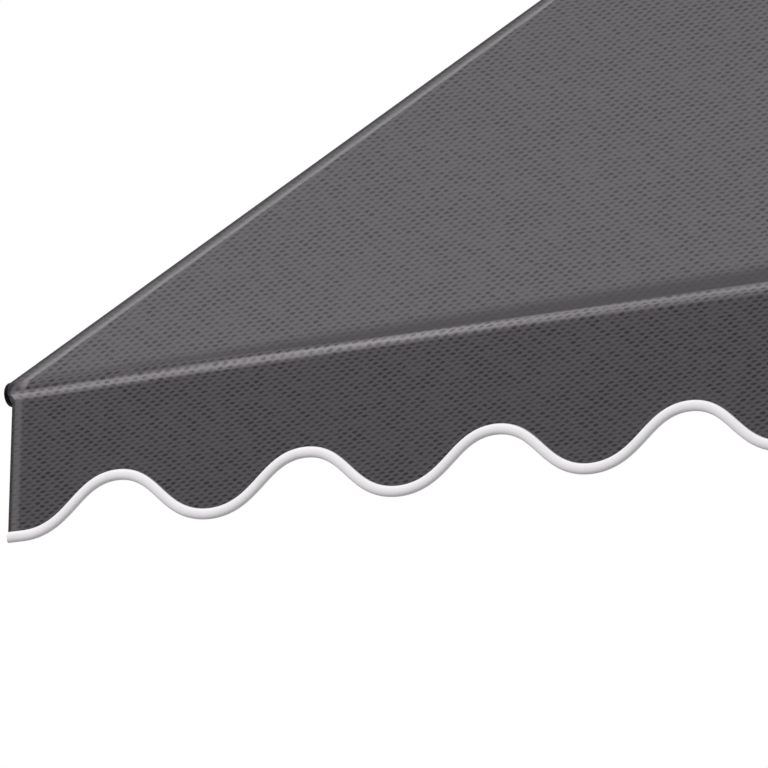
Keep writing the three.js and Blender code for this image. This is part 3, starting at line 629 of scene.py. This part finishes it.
def woven_canvas(blank):
    """Spun acrylic canvas: staggered dark dashes, folded hems with a painted highlight and painted edge shade, and
    painted shade and highlight over the bar.

    The map of places holds metres in from the side edge and metres past where the cloth meets the bar.
    """
    weave = blank.node("ShaderNodeUVMap", {"uv_map": "weave"})
    place = blank.node("ShaderNodeUVMap", {"uv_map": "place"})
    inward = place.part("X")
    along = place.part("Y")
    dashes = woven_dashes(weave)
    cloud = place.noise(CLOUD_SCALE, 4.0)
    fuzz = weave.noise(FUZZ_SCALE, 3.0)
    hanging = along.step(*SKIRT_START)
    hem = (inward * (1 + SKIRT_HEM * hanging)).step(HEM_WIDTH, HEM_WIDTH - HEM_BLUR)
    pattern = dashes * (DASH_STRENGTH - HEM_FADE * hem)
    tone = pattern + (cloud - 0.5) * CLOUD_STRENGTH + (fuzz - 0.5) * FUZZ_STRENGTH
    cloth = tone.mix(tint(*GROUND), tint(*DASH))
    # Painted shade and painted highlight where the cloth runs over the bar.
    fold_lit_cloth = bar_shade_and_highlight(cloth, inward, along, dashes, fuzz)
    relief = fuzz * FUZZ_RELIEF - dashes * DASH_RELIEF
    return {
        "Base Color": hem_lines(fold_lit_cloth, inward, hanging, fuzz),
        "Roughness": CANVAS_ROUGHNESS + DASH_ROUGHNESS * dashes,
        "Normal": relief.bump(WEAVE_RELIEF, WEAVE_RELIEF_STRENGTH),
        "Sheen Weight": CANVAS_SHEEN,
        "Sheen Roughness": CANVAS_SHEEN_ROUGHNESS,
    }


canvas_finish = finish("canvas", woven_canvas)


CLOTH_SMOOTH_ANGLE = 50.0


def cloth(name, front, back, weave, place):
    """A thin sheet between two grids of points, with a map of its weave and one of its places."""
    rows, columns = front.shape[:2]
    count = rows * columns
    points = np.concatenate([front.reshape(-1, 3), back.reshape(-1, 3)])
    faces = []
    for i in range(rows - 1):
        for j in range(columns - 1):
            a = i * columns + j
            quad = (a, a + 1, a + columns + 1, a + columns)
            faces.append(quad)
            faces.append(tuple(count + k for k in reversed(quad)))
    rim = list(range(columns))
    rim += [i * columns + columns - 1 for i in range(1, rows)]
    rim += [(rows - 1) * columns + j for j in range(columns - 2, -1, -1)]
    rim += [i * columns for i in range(rows - 2, 0, -1)]
    for a, b in zip(rim, rim[1:] + rim[:1]):
        faces.append((b, a, count + a, count + b))
    mesh = bpy.data.meshes.new(name)
    mesh.from_pydata(points.tolist(), [], faces)
    corners = np.empty(len(mesh.loops), int)
    mesh.loops.foreach_get("vertex_index", corners)
    for label, grid in (("weave", weave), ("place", place)):
        values = np.concatenate([grid.reshape(-1, 2)] * 2)
        mesh.uv_layers.new(name=label).data.foreach_set("uv", values[corners].ravel())
    shell = bmesh.new()
    shell.from_mesh(mesh)
    return solid(name, shell, CLOTH_SMOOTH_ANGLE)


def edge_distance(x):
    return canvas_half - np.abs(x)


ROLL_COLUMNS = 41
ROLL_HEM_MARKS = (0.004, 0.018, 0.024)
ROLL_STEPS = 48
ROLL_LEAVES_AT = math.radians(123)
ROLL_START_RISE = 0.0002
ROLL_PLACE = -1.8
roll_x = np.linspace(-canvas_half, canvas_half, ROLL_COLUMNS)
roll_x = np.union1d(roll_x, [s * (canvas_half - d) for s in (-1, 1) for d in ROLL_HEM_MARKS])
roll_angle = np.linspace(0, 2 * math.pi * ROLL_TURNS, ROLL_STEPS * ROLL_TURNS + 1)
roll_pitch = (ROLL_OUTER - ROLL_INNER) / ROLL_TURNS


def wound(radius):
    """The grid of points of the wound canvas at this much more than the tube's radius."""
    out = ROLL_INNER + roll_pitch * np.maximum(roll_angle / (2 * math.pi) - 1, 0) + radius
    first = ROLL_INNER + ROLL_START_RISE * roll_angle / (2 * math.pi) + radius
    out = np.where(roll_angle < 2 * math.pi, first, out)
    turn = ROLL_LEAVES_AT - (roll_angle[-1] - roll_angle)
    grid = np.empty((len(roll_angle), len(roll_x), 3))
    grid[..., 0] = roll_x
    grid[..., 1] = (roller_centre.y + out * np.cos(turn))[:, None]
    grid[..., 2] = (roller_centre.z + out * np.sin(turn))[:, None]
    return grid


roll_length = 2 * math.pi * ROLL_TURNS * (ROLL_INNER + ROLL_OUTER) / 2
roll_weave = np.empty((len(roll_angle), len(roll_x), 2))
roll_run = np.linspace(-roll_length, 0, len(roll_angle))[:, None]
roll_weave[..., 0] = (roll_x - ROW_LEAN * roll_run) / DASH_PITCH
roll_weave[..., 1] = roll_run / ROW_ON_SLOPE
roll_place = np.empty_like(roll_weave)
roll_place[..., 0] = edge_distance(roll_x)
roll_place[..., 1] = ROLL_PLACE
fabric_roll = cloth("fabric_roll_piece", wound(ROLL_CLOTH), wound(0.0), roll_weave, roll_place)
fit(fabric_roll, canvas_finish, "fabric_roll")


# Gearbox
# A black plastic box on the right roller plate. Inside, a brass crown gear on the roller's shaft runs
# on a steel pinion, and the eye below takes the hook of a crank. Four screws hold the cover.

BOX_EDGE = 0.003
SCREW_INSET = 0.008
SCREW_RADIUS = 0.0035
SCREW_HEIGHT = 0.0016
SCREW_SUNK = 0.001
SCREW_STEPS = 24
SCREW_PROFILE = ((0.5, 1), (0.85, 0.8), (1, 0.45), (0.3, 0.4), (0.3, 0))
EYE_RADIUS = 0.016
EYE_WIRE = 0.0045
EYE_STEPS = 56
EYE_SECTION = 18
EYE_SMOOTH_ANGLE = 60.0
CRANK_SHAFT = 0.004
STEM_FOOT = (0.0022, 0.002)
STEM_TAPER = 0.004
STEM_TIP = 0.002
STEM_TIP_CHAMFER = 0.0004
STEM_STEPS = 32
BRASS_SHADES = ((150, 116, 58), (190, 156, 88))
BRASS_TARNISH = 90.0
BRASS_ROUGHNESS = 0.42
BRASS_TARNISH_GLOSS = 0.2
BRASS_MARKS = 1800.0
BRASS_MARK_DEPTH = 0.00005


def cut_brass(blank):
    """Cut brass: warm, slightly tarnished in patches."""
    place = blank.node("ShaderNodeTexCoord", output="Object")
    tarnish = place.noise(BRASS_TARNISH, 4.0)
    return {
        "Base Color": tarnish.mix(tint(*BRASS_SHADES[0]), tint(*BRASS_SHADES[1])),
        "Roughness": BRASS_ROUGHNESS - BRASS_TARNISH_GLOSS * tarnish,
        "Metallic": 1.0,
        "Normal": place.noise(BRASS_MARKS, 2.0).bump(BRASS_MARK_DEPTH),
    }


brass_finish = finish("brass", cut_brass)

for node in ("gearbox_housing", "gearbox_cover"):
    fit(softened(node, BOX_EDGE, 3), plastic_finish, node)

cover_low, cover_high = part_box("gearbox_cover")
screw_outline = [(-SCREW_SUNK, 0), (-SCREW_SUNK, SCREW_RADIUS)]
screw_outline += [(SCREW_HEIGHT * up, SCREW_RADIUS * out) for up, out in SCREW_PROFILE]
for row, z in enumerate((cover_low.z + SCREW_INSET, cover_high.z - SCREW_INSET)):
    for column, y in enumerate((cover_low.y + SCREW_INSET, cover_high.y - SCREW_INSET)):
        seat = (cover_high.x, y, z)
        screw = turned(f"cover_screw_{row}_{column}", screw_outline, seat, ACROSS, SCREW_STEPS)
        screw.data.materials.append(steel_finish)
        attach(screw, "wall_frame")



def refinish(node, material):
    """Gives a solid that stays as it is its own finish."""
    frame["nodes"][node].data.materials.clear()
    frame["nodes"][node].data.materials.append(material)


refinish("crown_gear", brass_finish)
refinish("pinion", steel_finish)

eye_low, eye_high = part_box("crank_eye")
eye_centre = Vector((*((eye_low + eye_high) / 2).xy, eye_low.z + EYE_RADIUS + EYE_WIRE))


def crank_eye():
    """The bent ring and its shaft, as one forging."""
    shell = bmesh.new()
    rings = []
    for i in range(EYE_STEPS):
        turn = 2 * math.pi * i / EYE_STEPS
        outward = Vector((math.sin(turn), 0, math.cos(turn)))
        ring = []
        for k in range(EYE_SECTION):
            angle = 2 * math.pi * k / EYE_SECTION
            reach = outward * (EYE_RADIUS + EYE_WIRE * math.cos(angle))
            aside = Vector((0, EYE_WIRE * math.sin(angle), 0))
            ring.append(shell.verts.new(eye_centre + reach + aside))
        rings.append(ring)
    for ring, following in zip(rings, rings[1:] + rings[:1]):
        for k in range(EYE_SECTION):
            m = (k + 1) % EYE_SECTION
            shell.faces.new([ring[k], ring[m], following[m], following[k]])
    return solid("crank_eye_ring", shell, EYE_SMOOTH_ANGLE)


stem_foot = EYE_RADIUS - 0.001
stem_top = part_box("pinion")[0].z - SEAT_GAP - eye_centre.z
stem_end = eye_high.z - eye_centre.z
stem_outline = [
    (stem_foot, 0),
    (stem_foot, CRANK_SHAFT + STEM_FOOT[0]),
    (stem_foot + STEM_TAPER, CRANK_SHAFT + STEM_FOOT[1]),
    (stem_foot + 2 * STEM_TAPER, CRANK_SHAFT),
    (stem_top, CRANK_SHAFT),
    (stem_top, STEM_TIP),
    (stem_end - STEM_TIP_CHAMFER, STEM_TIP),
    (stem_end, STEM_TIP - STEM_TIP_CHAMFER),
    (stem_end, 0),
]
fit(crank_eye(), steel_finish, "crank_eye")
stem = turned("crank_eye_stem", stem_outline, eye_centre, (0, 0, 1), STEM_STEPS)
fit(stem, steel_finish, "crank_eye")


# Folding arms
# Each arm is two rounded rectangular aluminium tubes, with a shallow groove along their sides. Castings
# pressed into the tubes' ends make the pivots, and a spring inside the forearm keeps the canvas tight.

TUBE_WIDTH = 0.028
TUBE_HEIGHT = 0.050
TUBE_CORNER = 0.008
TUBE_WALL = 0.0025
TUBE_BURR = 0.0005
CORNER_STEPS = 6
GROOVE_HALF = 0.0016
GROOVE_DEPTH = 0.0009
ELBOW_OFFSET = 0.024
END_GAP = 0.0343


def tube_section(inset, grooved):
    """The tube's outline as (across, up) points, inset, and with a groove on each tall side."""
    half_x = TUBE_WIDTH / 2 - inset
    half_z = TUBE_HEIGHT / 2 - inset
    corner = TUBE_CORNER - inset
    points = []
    for start, (sx, sz) in enumerate([(1, 1), (-1, 1), (-1, -1), (1, -1)]):
        for k in range(CORNER_STEPS + 1):
            angle = math.pi / 2 * (start + k / CORNER_STEPS)
            points.append((
                sx * (half_x - corner) + corner * math.cos(angle),
                sz * (half_z - corner) + corner * math.sin(angle),
            ))
        if start in (0, 2):
            continue
        depth = GROOVE_DEPTH if grooved else 0.0
        for height, reach in ((2, 0), (1, depth), (-1, depth), (-2, 0)):
            points.append((sx * (half_x - reach), -sx * height * GROOVE_HALF))
    return points


def arm_tube(node, start, direction, length):
    """A tube of this length from start, its tall side along the pins."""
    ahead = direction.normalized()
    across = ahead.cross(PIN_AXIS).normalized()
    shell = bmesh.new()
    rings = []
    for inset, grooved, distance in (
        (TUBE_WALL, False, 0.0),
        (TUBE_BURR, True, 0.0),
        (0.0, True, TUBE_BURR),
        (0.0, True, length - TUBE_BURR),
        (TUBE_BURR, True, length),
        (TUBE_WALL, False, length),
    ):
        ring = []
        for a, h in tube_section(inset, grooved):
            ring.append(shell.verts.new(start + ahead * distance + across * a + PIN_AXIS * h))
        rings.append(ring)
    for ring, following in zip(rings, rings[1:] + rings[:1]):
        for i in range(len(ring)):
            j = (i + 1) % len(ring)
            shell.faces.new([ring[i], ring[j], following[j], following[i]])
    return fit(solid(f"{node}_piece", shell), coat_finish, node)


def turned_about_pin(direction, angle):
    return direction * math.cos(angle) + PIN_AXIS.cross(direction) * math.sin(angle)


tips = {"left": pivots["left_front_pivot"], "right": mirrored(pivots["left_front_pivot"])}

for side, sign in (("left", -1), ("right", 1)):
    shoulder = pivots[f"{side}_shoulder"]
    elbow = pivots[f"{side}_elbow"]
    tip = tips[side]
    link = (elbow - shoulder).length
    skew = math.asin(ELBOW_OFFSET / link)
    length = link * math.cos(skew) - 2 * END_GAP
    upper_way = turned_about_pin((elbow - shoulder).normalized(), -sign * skew)
    fore_way = turned_about_pin((elbow - tip).normalized(), sign * skew)
    arm_tube(f"upper_arm_{side}", shoulder + upper_way * END_GAP, upper_way, length)
    arm_tube(f"forearm_{side}", tip + fore_way * END_GAP, fore_way, length)
    for casting in ("shoulder_end", "elbow_fork", "elbow_tongue", "forearm_tip"):
        node = f"{casting}_{side}"
        fit(softened(node, CAST_EDGE), cast_finish, node)
    pivot_pin(f"elbow_pin_{side}", elbow, EAR_HALF["elbow"])
    refinish(f"tension_spring_{side}", steel_finish)


# Front bar
# A round aluminium tube that the canvas runs over, carried by a forked casting on each arm and held
# there by a screw. Black plastic caps close its ends just outside the canvas.

BAR_RADIUS = 0.0155
BAR_WALL = 0.002
CAP_RADIUS = 0.0165
CAP_LENGTH = 0.008
CAP_ROUND = 0.0035
CAP_ROUND_STEPS = 6
CAP_ROUND_SHARE = 0.9
CAP_EDGE_CUT = 0.0004
CAP_DISH = 0.0001
CAP_PLUG = 0.025
BAR_STEPS = 64

bar_centre = middle("front_bar")
bar_outline = round_tube(canvas_half, BAR_RADIUS, BAR_WALL)
bar = turned("front_bar_piece", bar_outline, bar_centre, ACROSS, BAR_STEPS, True)
fit(bar, coat_finish, "front_bar")

for side, sign in (("left", -1), ("right", 1)):
    bracket = f"front_bracket_{side}"
    fit(softened(bracket, CAST_EDGE), cast_finish, bracket)
    pivot_pin(f"front_pin_{side}", tips[side], EAR_HALF["front"])
    screw = f"front_screw_{side}"
    fit(softened(screw, BOLT_EDGE), steel_finish, screw)

    face = canvas_half + SEAT_GAP
    end = face + CAP_LENGTH
    bore = BAR_RADIUS - BAR_WALL - SEAT_GAP
    outline = [
        (face - CAP_PLUG, 0),
        (face - CAP_PLUG, bore - PLUG_EDGE),
        (face - CAP_PLUG + PLUG_EDGE, bore),
        (face, bore),
        (face, CAP_RADIUS - CAP_EDGE_CUT),
        (face + CAP_EDGE_CUT, CAP_RADIUS),
    ]
    for k in range(CAP_ROUND_STEPS + 1):
        angle = math.pi / 2 * k / CAP_ROUND_STEPS
        outline.append((
            end - CAP_ROUND + CAP_ROUND * math.sin(angle) * CAP_ROUND_SHARE,
            CAP_RADIUS - CAP_ROUND + CAP_ROUND * math.cos(angle),
        ))
    outline += [(end - CAP_DISH, CAP_RADIUS * 0.5), (end, 0)]
    cap = turned(f"bar_cap_{side}_piece", outline, (0, *bar_centre.yz), ACROSS * sign, BAR_STEPS)
    fit(cap, plastic_finish, f"bar_cap_{side}")


# Canopy
# One sheet of canvas from the roller down to the front bar, pulled tight by the arms, so that it sags
# only a little between its hems. The side hems are folded over and sewn.

CLOTH_THICKNESS = 0.0012
WRAP_RADIUS = 0.0158
HEM_RISE = 0.0008
CANOPY_SAG = 0.006
ROLL_CROWN = 0.0014
ROLL_CROWN_RUN = 0.11
SAG_RISE = (0.08, 0.5)
SAG_FLATNESS = 3
SEAM_BACK = 0.0003
CLOTH_COLUMNS = 321
HEM_MARKS = (0.0012, 0.003, 0.014, 0.022, 0.0255, 0.0265, 0.028, 0.0295, 0.032)
HEM_CLEAR = 0.034
HEM_STEP = (HEM_WIDTH - 0.0025, HEM_WIDTH + 0.0005)
SLOPE_END = 0.06
SLOPE_END_MARKS = (0.04, 0.02, 0.01, 0.003, SEAM_BACK)
slope = math.radians(33)
slope_down = np.array([0, -math.cos(slope), -math.sin(slope)])
slope_up = np.array([0, -math.sin(slope), math.cos(slope)])
roller_line = np.array(roller_centre) * [0, 1, 1] + slope_up * (ROLL_OUTER + SEAT_GAP)
bar_line = np.array(bar_centre) * [0, 1, 1] + slope_up * WRAP_RADIUS
slope_length = float(np.dot(bar_line - roller_line, slope_down))


def smooth_step(values, low, high):
    t = np.clip((values - low) / (high - low), 0, 1)
    return t * t * (3 - 2 * t)


across_x = np.linspace(-canvas_half, canvas_half, CLOTH_COLUMNS)
across_x = across_x[(edge_distance(across_x) > HEM_CLEAR) | (edge_distance(across_x) == 0)]
across_x = np.union1d(across_x, [s * (canvas_half - d) for s in (-1, 1) for d in HEM_MARKS])
hem_rise = HEM_RISE * (1 - smooth_step(edge_distance(across_x), *HEM_STEP))


def across_grid(rows):
    grid = np.zeros((rows, len(across_x), 3))
    grid[..., 0] = across_x
    return grid


def weave_row(run):
    """The weave's row number at a distance along the cloth, measured from where it meets the bar."""
    bend = WRAP_RADIUS * (math.pi / 2 - slope)
    on_bar = np.clip(run, 0, bend) / ROW_ON_BAR
    return np.minimum(run, 0) / ROW_ON_SLOPE + on_bar + np.maximum(run - bend, 0) / ROW_ON_VALANCE


def cloth_maps(run):
    weave = across_grid(run.shape[0])[..., :2]
    weave[..., 0] = (across_x - ROW_LEAN * np.minimum(run, 0)) / DASH_PITCH
    weave[..., 1] = weave_row(run)
    place = np.empty_like(weave)
    place[..., 0] = edge_distance(across_x)
    place[..., 1] = run
    return weave, place


down_run = np.concatenate([
    np.linspace(0, ROLL_CROWN_RUN, 9),
    np.linspace(ROLL_CROWN_RUN, slope_length - SLOPE_END, 42)[1:],
    slope_length - np.array(SLOPE_END_MARKS),
])
sag = CANOPY_SAG * np.sin(math.pi * down_run / slope_length) * smooth_step(down_run, *SAG_RISE)
crown = ROLL_CROWN * np.sin(math.pi * np.minimum(down_run / ROLL_CROWN_RUN, 1))
lift = crown[:, None] - sag[:, None] * (1 - (np.abs(across_x) / canvas_half) ** SAG_FLATNESS)
under = across_grid(len(down_run)) + roller_line + down_run[:, None, None] * slope_down
under = under + lift[..., None] * slope_up
upper = under + (CLOTH_THICKNESS + hem_rise)[:, None] * slope_up
slope_run = np.repeat((down_run - slope_length)[:, None], len(across_x), axis=1)
canopy = cloth("canopy_piece", upper, under, *cloth_maps(slope_run))
fit(canopy, canvas_finish, "canopy")

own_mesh(canopy)


# Valance
# The same canvas goes on over the front bar and hangs down in front as a skirt. Its lower edge is cut
# in eight scallops, and it hangs almost flat, with a slight ripple.

SCALLOP_COUNT = 8
END_FLAT = 0.024
FULLNESS = 0.7
SIDE_INSET = 0.0082
VALANCE_TROUGH = 0.193
VALANCE_CREST = 0.125
RIPPLE = 0.0011
RIPPLE_WAVES = ((0.41, 0.7, 0.6), (0.173, 2.1, 0.25))
RIPPLE_GROWTH = 1.5
DRAWN_IN = (0.002, 0.016)
WRAP_STEPS = 14
FALL_STEPS = 30


def scallop_z(x):
    """The height of the valance's cut edge."""
    swing = (VALANCE_TROUGH - VALANCE_CREST) / 2
    share = np.clip((x + canvas_half - END_FLAT) / (2 * canvas_half - 2 * END_FLAT), 0, 1)
    wave = np.cos(2 * math.pi * SCALLOP_COUNT * share)
    full = wave * np.sqrt((1 + FULLNESS**2) / (1 + FULLNESS**2 * wave**2))
    return bar_centre.z - VALANCE_TROUGH + swing * (1 - full)


def drawn_in(x, z):
    """Where the side edge hangs: the skirt is hemmed a little narrower than the slope."""
    return x * (1 - SIDE_INSET / canvas_half * smooth_step(bar_centre.z - z, *DRAWN_IN))


def ripple_y(x, z):
    """How far the hanging cloth stands out of its plane."""
    fall = np.clip((bar_centre.z - z) / VALANCE_TROUGH, 0, 1.2)
    wave = sum(np.sin(2 * math.pi * x / span + start) * size for span, start, size in RIPPLE_WAVES)
    return RIPPLE * fall**RIPPLE_GROWTH * wave


wrap_angle = math.pi / 2 + slope + (math.pi / 2 - slope) * np.linspace(0, 1, WRAP_STEPS + 1)
fall_share = (np.linspace(0, 1, FALL_STEPS + 1) ** 1.5)[1:]
wrapped = slice(None, WRAP_STEPS + 1)
hung = slice(WRAP_STEPS + 1, None)
wrap_bend = WRAP_RADIUS * (wrap_angle - wrap_angle[0])


def valance_face(radius):
    """One face of the valance, at this radius round the bar."""
    grid = across_grid(WRAP_STEPS + 1 + FALL_STEPS)
    grid[wrapped, :, 1] = (bar_centre.y + radius * np.cos(wrap_angle))[:, None]
    grid[wrapped, :, 2] = (bar_centre.z + radius * np.sin(wrap_angle))[:, None]
    drop = bar_centre.z - scallop_z(across_x)
    z = bar_centre.z - fall_share[:, None] * drop
    grid[hung, :, 2] = z
    grid[hung, :, 1] = bar_centre.y - radius + ripple_y(across_x, z)
    grid[hung, :, 0] = drawn_in(across_x, z)
    return grid


outer_face = valance_face(WRAP_RADIUS + CLOTH_THICKNESS)
outer_face[wrapped, :, 1] += hem_rise * np.cos(wrap_angle)[:, None]
outer_face[wrapped, :, 2] += hem_rise * np.sin(wrap_angle)[:, None]
outer_face[hung, :, 1] -= hem_rise
inner_face = valance_face(WRAP_RADIUS)
valance_run = np.concatenate([
    np.repeat(wrap_bend[:, None], len(across_x), axis=1),
    wrap_bend[-1] + bar_centre.z - outer_face[hung, :, 2],
])
valance = cloth("valance_piece", outer_face, inner_face, *cloth_maps(valance_run))
fit(valance, canvas_finish, "valance")


# Binding
# A thick white corded tape, sewn along the scallops. It is 15 mm high and 9 mm thick, and cut off
# square at both ends.

BIND_HALF_HEIGHT = 0.0075
BIND_HALF_THICKNESS = 0.0045
BIND_SECTION = 24
BIND_STEPS = 48
BIND_SQUARENESS = (0.8, 0.9)
BIND_SMOOTH_ANGLE = 50.0
RIB_PITCH = 0.0016
RIB_SIDE_STEP = 0.0017
RIB_SLANT = 0.5
RIB_SHADE = 0.12
RIB_ROUGHNESS = 0.15
RIB_RELIEF = 0.6
TAPE_ROUGHNESS = 0.5
TAPE_FUZZ = 2.0
TAPE_RELIEF = 0.0002
TAPE_RELIEF_STRENGTH = 0.6
TAPE_SHEEN = 0.1
# The tape's white and the grey it turns to with soiling, ribs and painted underside shade.
BIND_WHITE = (249, 246, 249)
BIND_SHADE = (224, 221, 224)
SOIL_SCALE = 0.06
SOIL_SHADE = 0.5
UNDERSIDE = (0.2, -0.9)
UNDERSIDE_SHADE = 0.4
SEAM_EDGE = (0.80, 0.95)
SEAM_SHADE = 0.8


def corded_tape(blank):
    """White tape over cord: fine slanting ribs, faintly soiled, with painted shade on its underside and a painted
    shadow line along its top edge.
    """
    weave = blank.node("ShaderNodeUVMap", {"uv_map": "weave"})
    place = blank.node("ShaderNodeUVMap", {"uv_map": "place"})
    u = weave.part("X")
    v = weave.part("Y")
    height = place.part("Y")
    rib = u.calc("SINE", (u + v * RIB_SLANT) * 2 * math.pi) * 0.5 + 0.5
    soil = weave.noise(SOIL_SCALE, 4.0)
    # Painted shade: the lower part of the tape is darkened.
    low = height.step(*UNDERSIDE)
    # Painted shadow: a dark line along the top edge, where the tape meets the canvas.
    seam_shadow = height.step(*SEAM_EDGE)
    tone = (soil - 0.5) * SOIL_SHADE + low * UNDERSIDE_SHADE + rib * RIB_SHADE
    white = tone.mix(tint(*BIND_WHITE), tint(*BIND_SHADE))
    relief = (rib + weave.noise(TAPE_FUZZ, 2.0)) * RIB_RELIEF
    return {
        "Base Color": (seam_shadow * SEAM_SHADE).mix(white, tint(*PAINTED_SHADE_LINE)),
        "Roughness": TAPE_ROUGHNESS + RIB_ROUGHNESS * rib,
        "Normal": relief.bump(TAPE_RELIEF, TAPE_RELIEF_STRENGTH),
        "Sheen Weight": TAPE_SHEEN,
    }


binding_finish = finish("binding", corded_tape)


def binding_tape():
    """The tape swept along the scallops, square to them."""
    x = np.linspace(-canvas_half, canvas_half, SCALLOP_COUNT * BIND_STEPS + 1)
    z = scallop_z(x)
    rise = np.gradient(z, x)
    size = np.sqrt(1 + rise**2)
    normal = np.stack([-rise / size, np.zeros_like(x), 1 / size], axis=1)
    edge = np.stack([drawn_in(x, z), np.zeros_like(x), z], axis=1)
    edge[:, 1] = bar_centre.y - WRAP_RADIUS - CLOTH_THICKNESS / 2 + ripple_y(x, z)
    normal[[0, -1]] = (0, 0, 1)
    centre = edge - normal * BIND_HALF_HEIGHT
    length = np.concatenate([[0], np.cumsum(np.linalg.norm(np.diff(edge, axis=0), axis=1))])
    angles = 2 * math.pi * np.arange(BIND_SECTION + 1) / BIND_SECTION + math.pi / 2
    side, top = BIND_SQUARENESS
    across = -np.sign(np.cos(angles)) * np.abs(np.cos(angles)) ** side * BIND_HALF_THICKNESS
    up = np.sign(np.sin(angles)) * np.abs(np.sin(angles)) ** top * BIND_HALF_HEIGHT
    shell = bmesh.new()
    weave = shell.loops.layers.uv.new("weave")
    place = shell.loops.layers.uv.new("place")
    rings = []
    for c, n in zip(centre, normal):
        ring = []
        for a, h in zip(across[:-1], up[:-1]):
            ring.append(shell.verts.new(Vector(c) + Vector(n) * h + Vector((0, a, 0))))
        rings.append(ring)
    for i in range(len(rings) - 1):
        for k in range(BIND_SECTION):
            m = (k + 1) % BIND_SECTION
            quad = shell.faces.new([rings[i][k], rings[i][m], rings[i + 1][m], rings[i + 1][k]])
            spots = [(i, k), (i, k + 1), (i + 1, k + 1), (i + 1, k)]
            for loop, (row, spot) in zip(quad.loops, spots):
                loop[weave].uv = (length[row] / RIB_PITCH, spot * RIB_SIDE_STEP / RIB_PITCH)
                loop[place].uv = (length[row], up[spot] / BIND_HALF_HEIGHT)
    for ring in (rings[0], rings[-1]):
        shell.faces.new(ring)
    return solid("valance_binding_piece", shell, BIND_SMOOTH_ANGLE)


fit(binding_tape(), binding_finish, "valance_binding")


# Studio
# A plain pale floor far below, soft light from above and in front, and the camera at the angle of
# the photograph, looking up at the left front corner.

FLOOR_Z = -5.9
FLOOR_HALF = 14
FLOOR_SHADES = ((240, 240, 240), (245, 245, 245))
FLOOR_CLOUD = 0.7
FLOOR_ROUGHNESS = 0.8
AZIMUTH = math.radians(31.64)
ELEVATION = math.radians(-14.19)
ROLL = math.radians(1.58)
DISTANCE = 18.0
LENS = 642.7
AIM = Vector((-0.6215, -1.5624, -0.9013))
SKY_TOP = 0.85
SKY_LOW = 0.33
SKY_RISE = (-0.35, 0.45)


def studio_sky():
    """Plain white behind the object, and a soft light that comes mostly from above."""
    world = bpy.data.worlds.new("studio")
    bpy.context.scene.world = world
    world.use_nodes = True
    world.node_tree.nodes.clear()
    blank = Term(world.node_tree)
    way = blank.node("ShaderNodeTexCoord", output="Generated")
    level = SKY_LOW + (SKY_TOP - SKY_LOW) * way.part("Z").step(*SKY_RISE)
    light = blank.node("ShaderNodeBackground", {}, {"Color": (1, 1, 1, 1), "Strength": level})
    plain = blank.node("ShaderNodeBackground", {}, {"Color": (1, 1, 1, 1), "Strength": 1.0})
    seen = blank.node("ShaderNodeLightPath", output="Is Camera Ray")
    both = blank.node("ShaderNodeMixShader", {}, {0: seen, 1: light, 2: plain})
    blank.node("ShaderNodeOutputWorld", {}, {"Surface": both})


def soft_box(name, place, aim, size, power):
    """A square studio lamp that faces a point."""
    lamp = bpy.data.lights.new(name, "AREA")
    lamp.shape = "SQUARE"
    lamp.size = size
    lamp.energy = power
    holder = bpy.data.objects.new(name, lamp)
    holder.location = place
    holder.rotation_euler = (Vector(aim) - Vector(place)).to_track_quat("-Z", "Y").to_euler()
    bpy.context.scene.collection.objects.link(holder)
    holder.visible_camera = False


def matt_floor(blank):
    """Pale paint, seen from above only."""
    cloud = blank.node("ShaderNodeTexCoord", output="Object").noise(FLOOR_CLOUD)
    back = blank.node("ShaderNodeNewGeometry", output="Backfacing")
    return {
        "Base Color": cloud.mix(tint(*FLOOR_SHADES[0]), tint(*FLOOR_SHADES[1])),
        "Roughness": FLOOR_ROUGHNESS,
        "Alpha": 1 - back,
    }


def pale_floor():
    """A floor that hides nothing from a view below it."""
    mesh = bpy.data.meshes.new("floor")
    ways = ((-1, -1), (1, -1), (1, 1), (-1, 1))
    corners = [(x * FLOOR_HALF, y * FLOOR_HALF, FLOOR_Z) for x, y in ways]
    mesh.from_pydata(corners, [], [(0, 1, 2, 3)])
    floor = bpy.data.objects.new("floor", mesh)
    bpy.context.scene.collection.objects.link(floor)
    floor.data.materials.append(finish("pale floor", matt_floor))
    floor.visible_diffuse = False


studio_sky()
pale_floor()
soft_box("key", (-2.5, -6.5, 4.5), (0, -1.0, -0.5), 3.0, 250)
soft_box("rear fill", (1.0, 4.5, -2.6), (0, -0.8, -0.4), 2.5, 90)

camera_data = bpy.data.cameras.new("camera")
camera_data.lens = LENS
camera_data.sensor_width = 36.0
camera_data.clip_end = 100.0
camera = bpy.data.objects.new("camera", camera_data)
reach = Vector((
    math.sin(AZIMUTH) * math.cos(ELEVATION),
    -math.cos(AZIMUTH) * math.cos(ELEVATION),
    math.sin(ELEVATION),
))
camera.location = AIM + reach * DISTANCE
level_view = (-reach).to_track_quat("-Z", "Y")
camera.rotation_euler = (Quaternion(-reach, -ROLL) @ level_view).to_euler()
bpy.context.scene.collection.objects.link(camera)
bpy.context.scene.camera = camera
bpy.context.scene.view_settings.view_transform = "Standard"
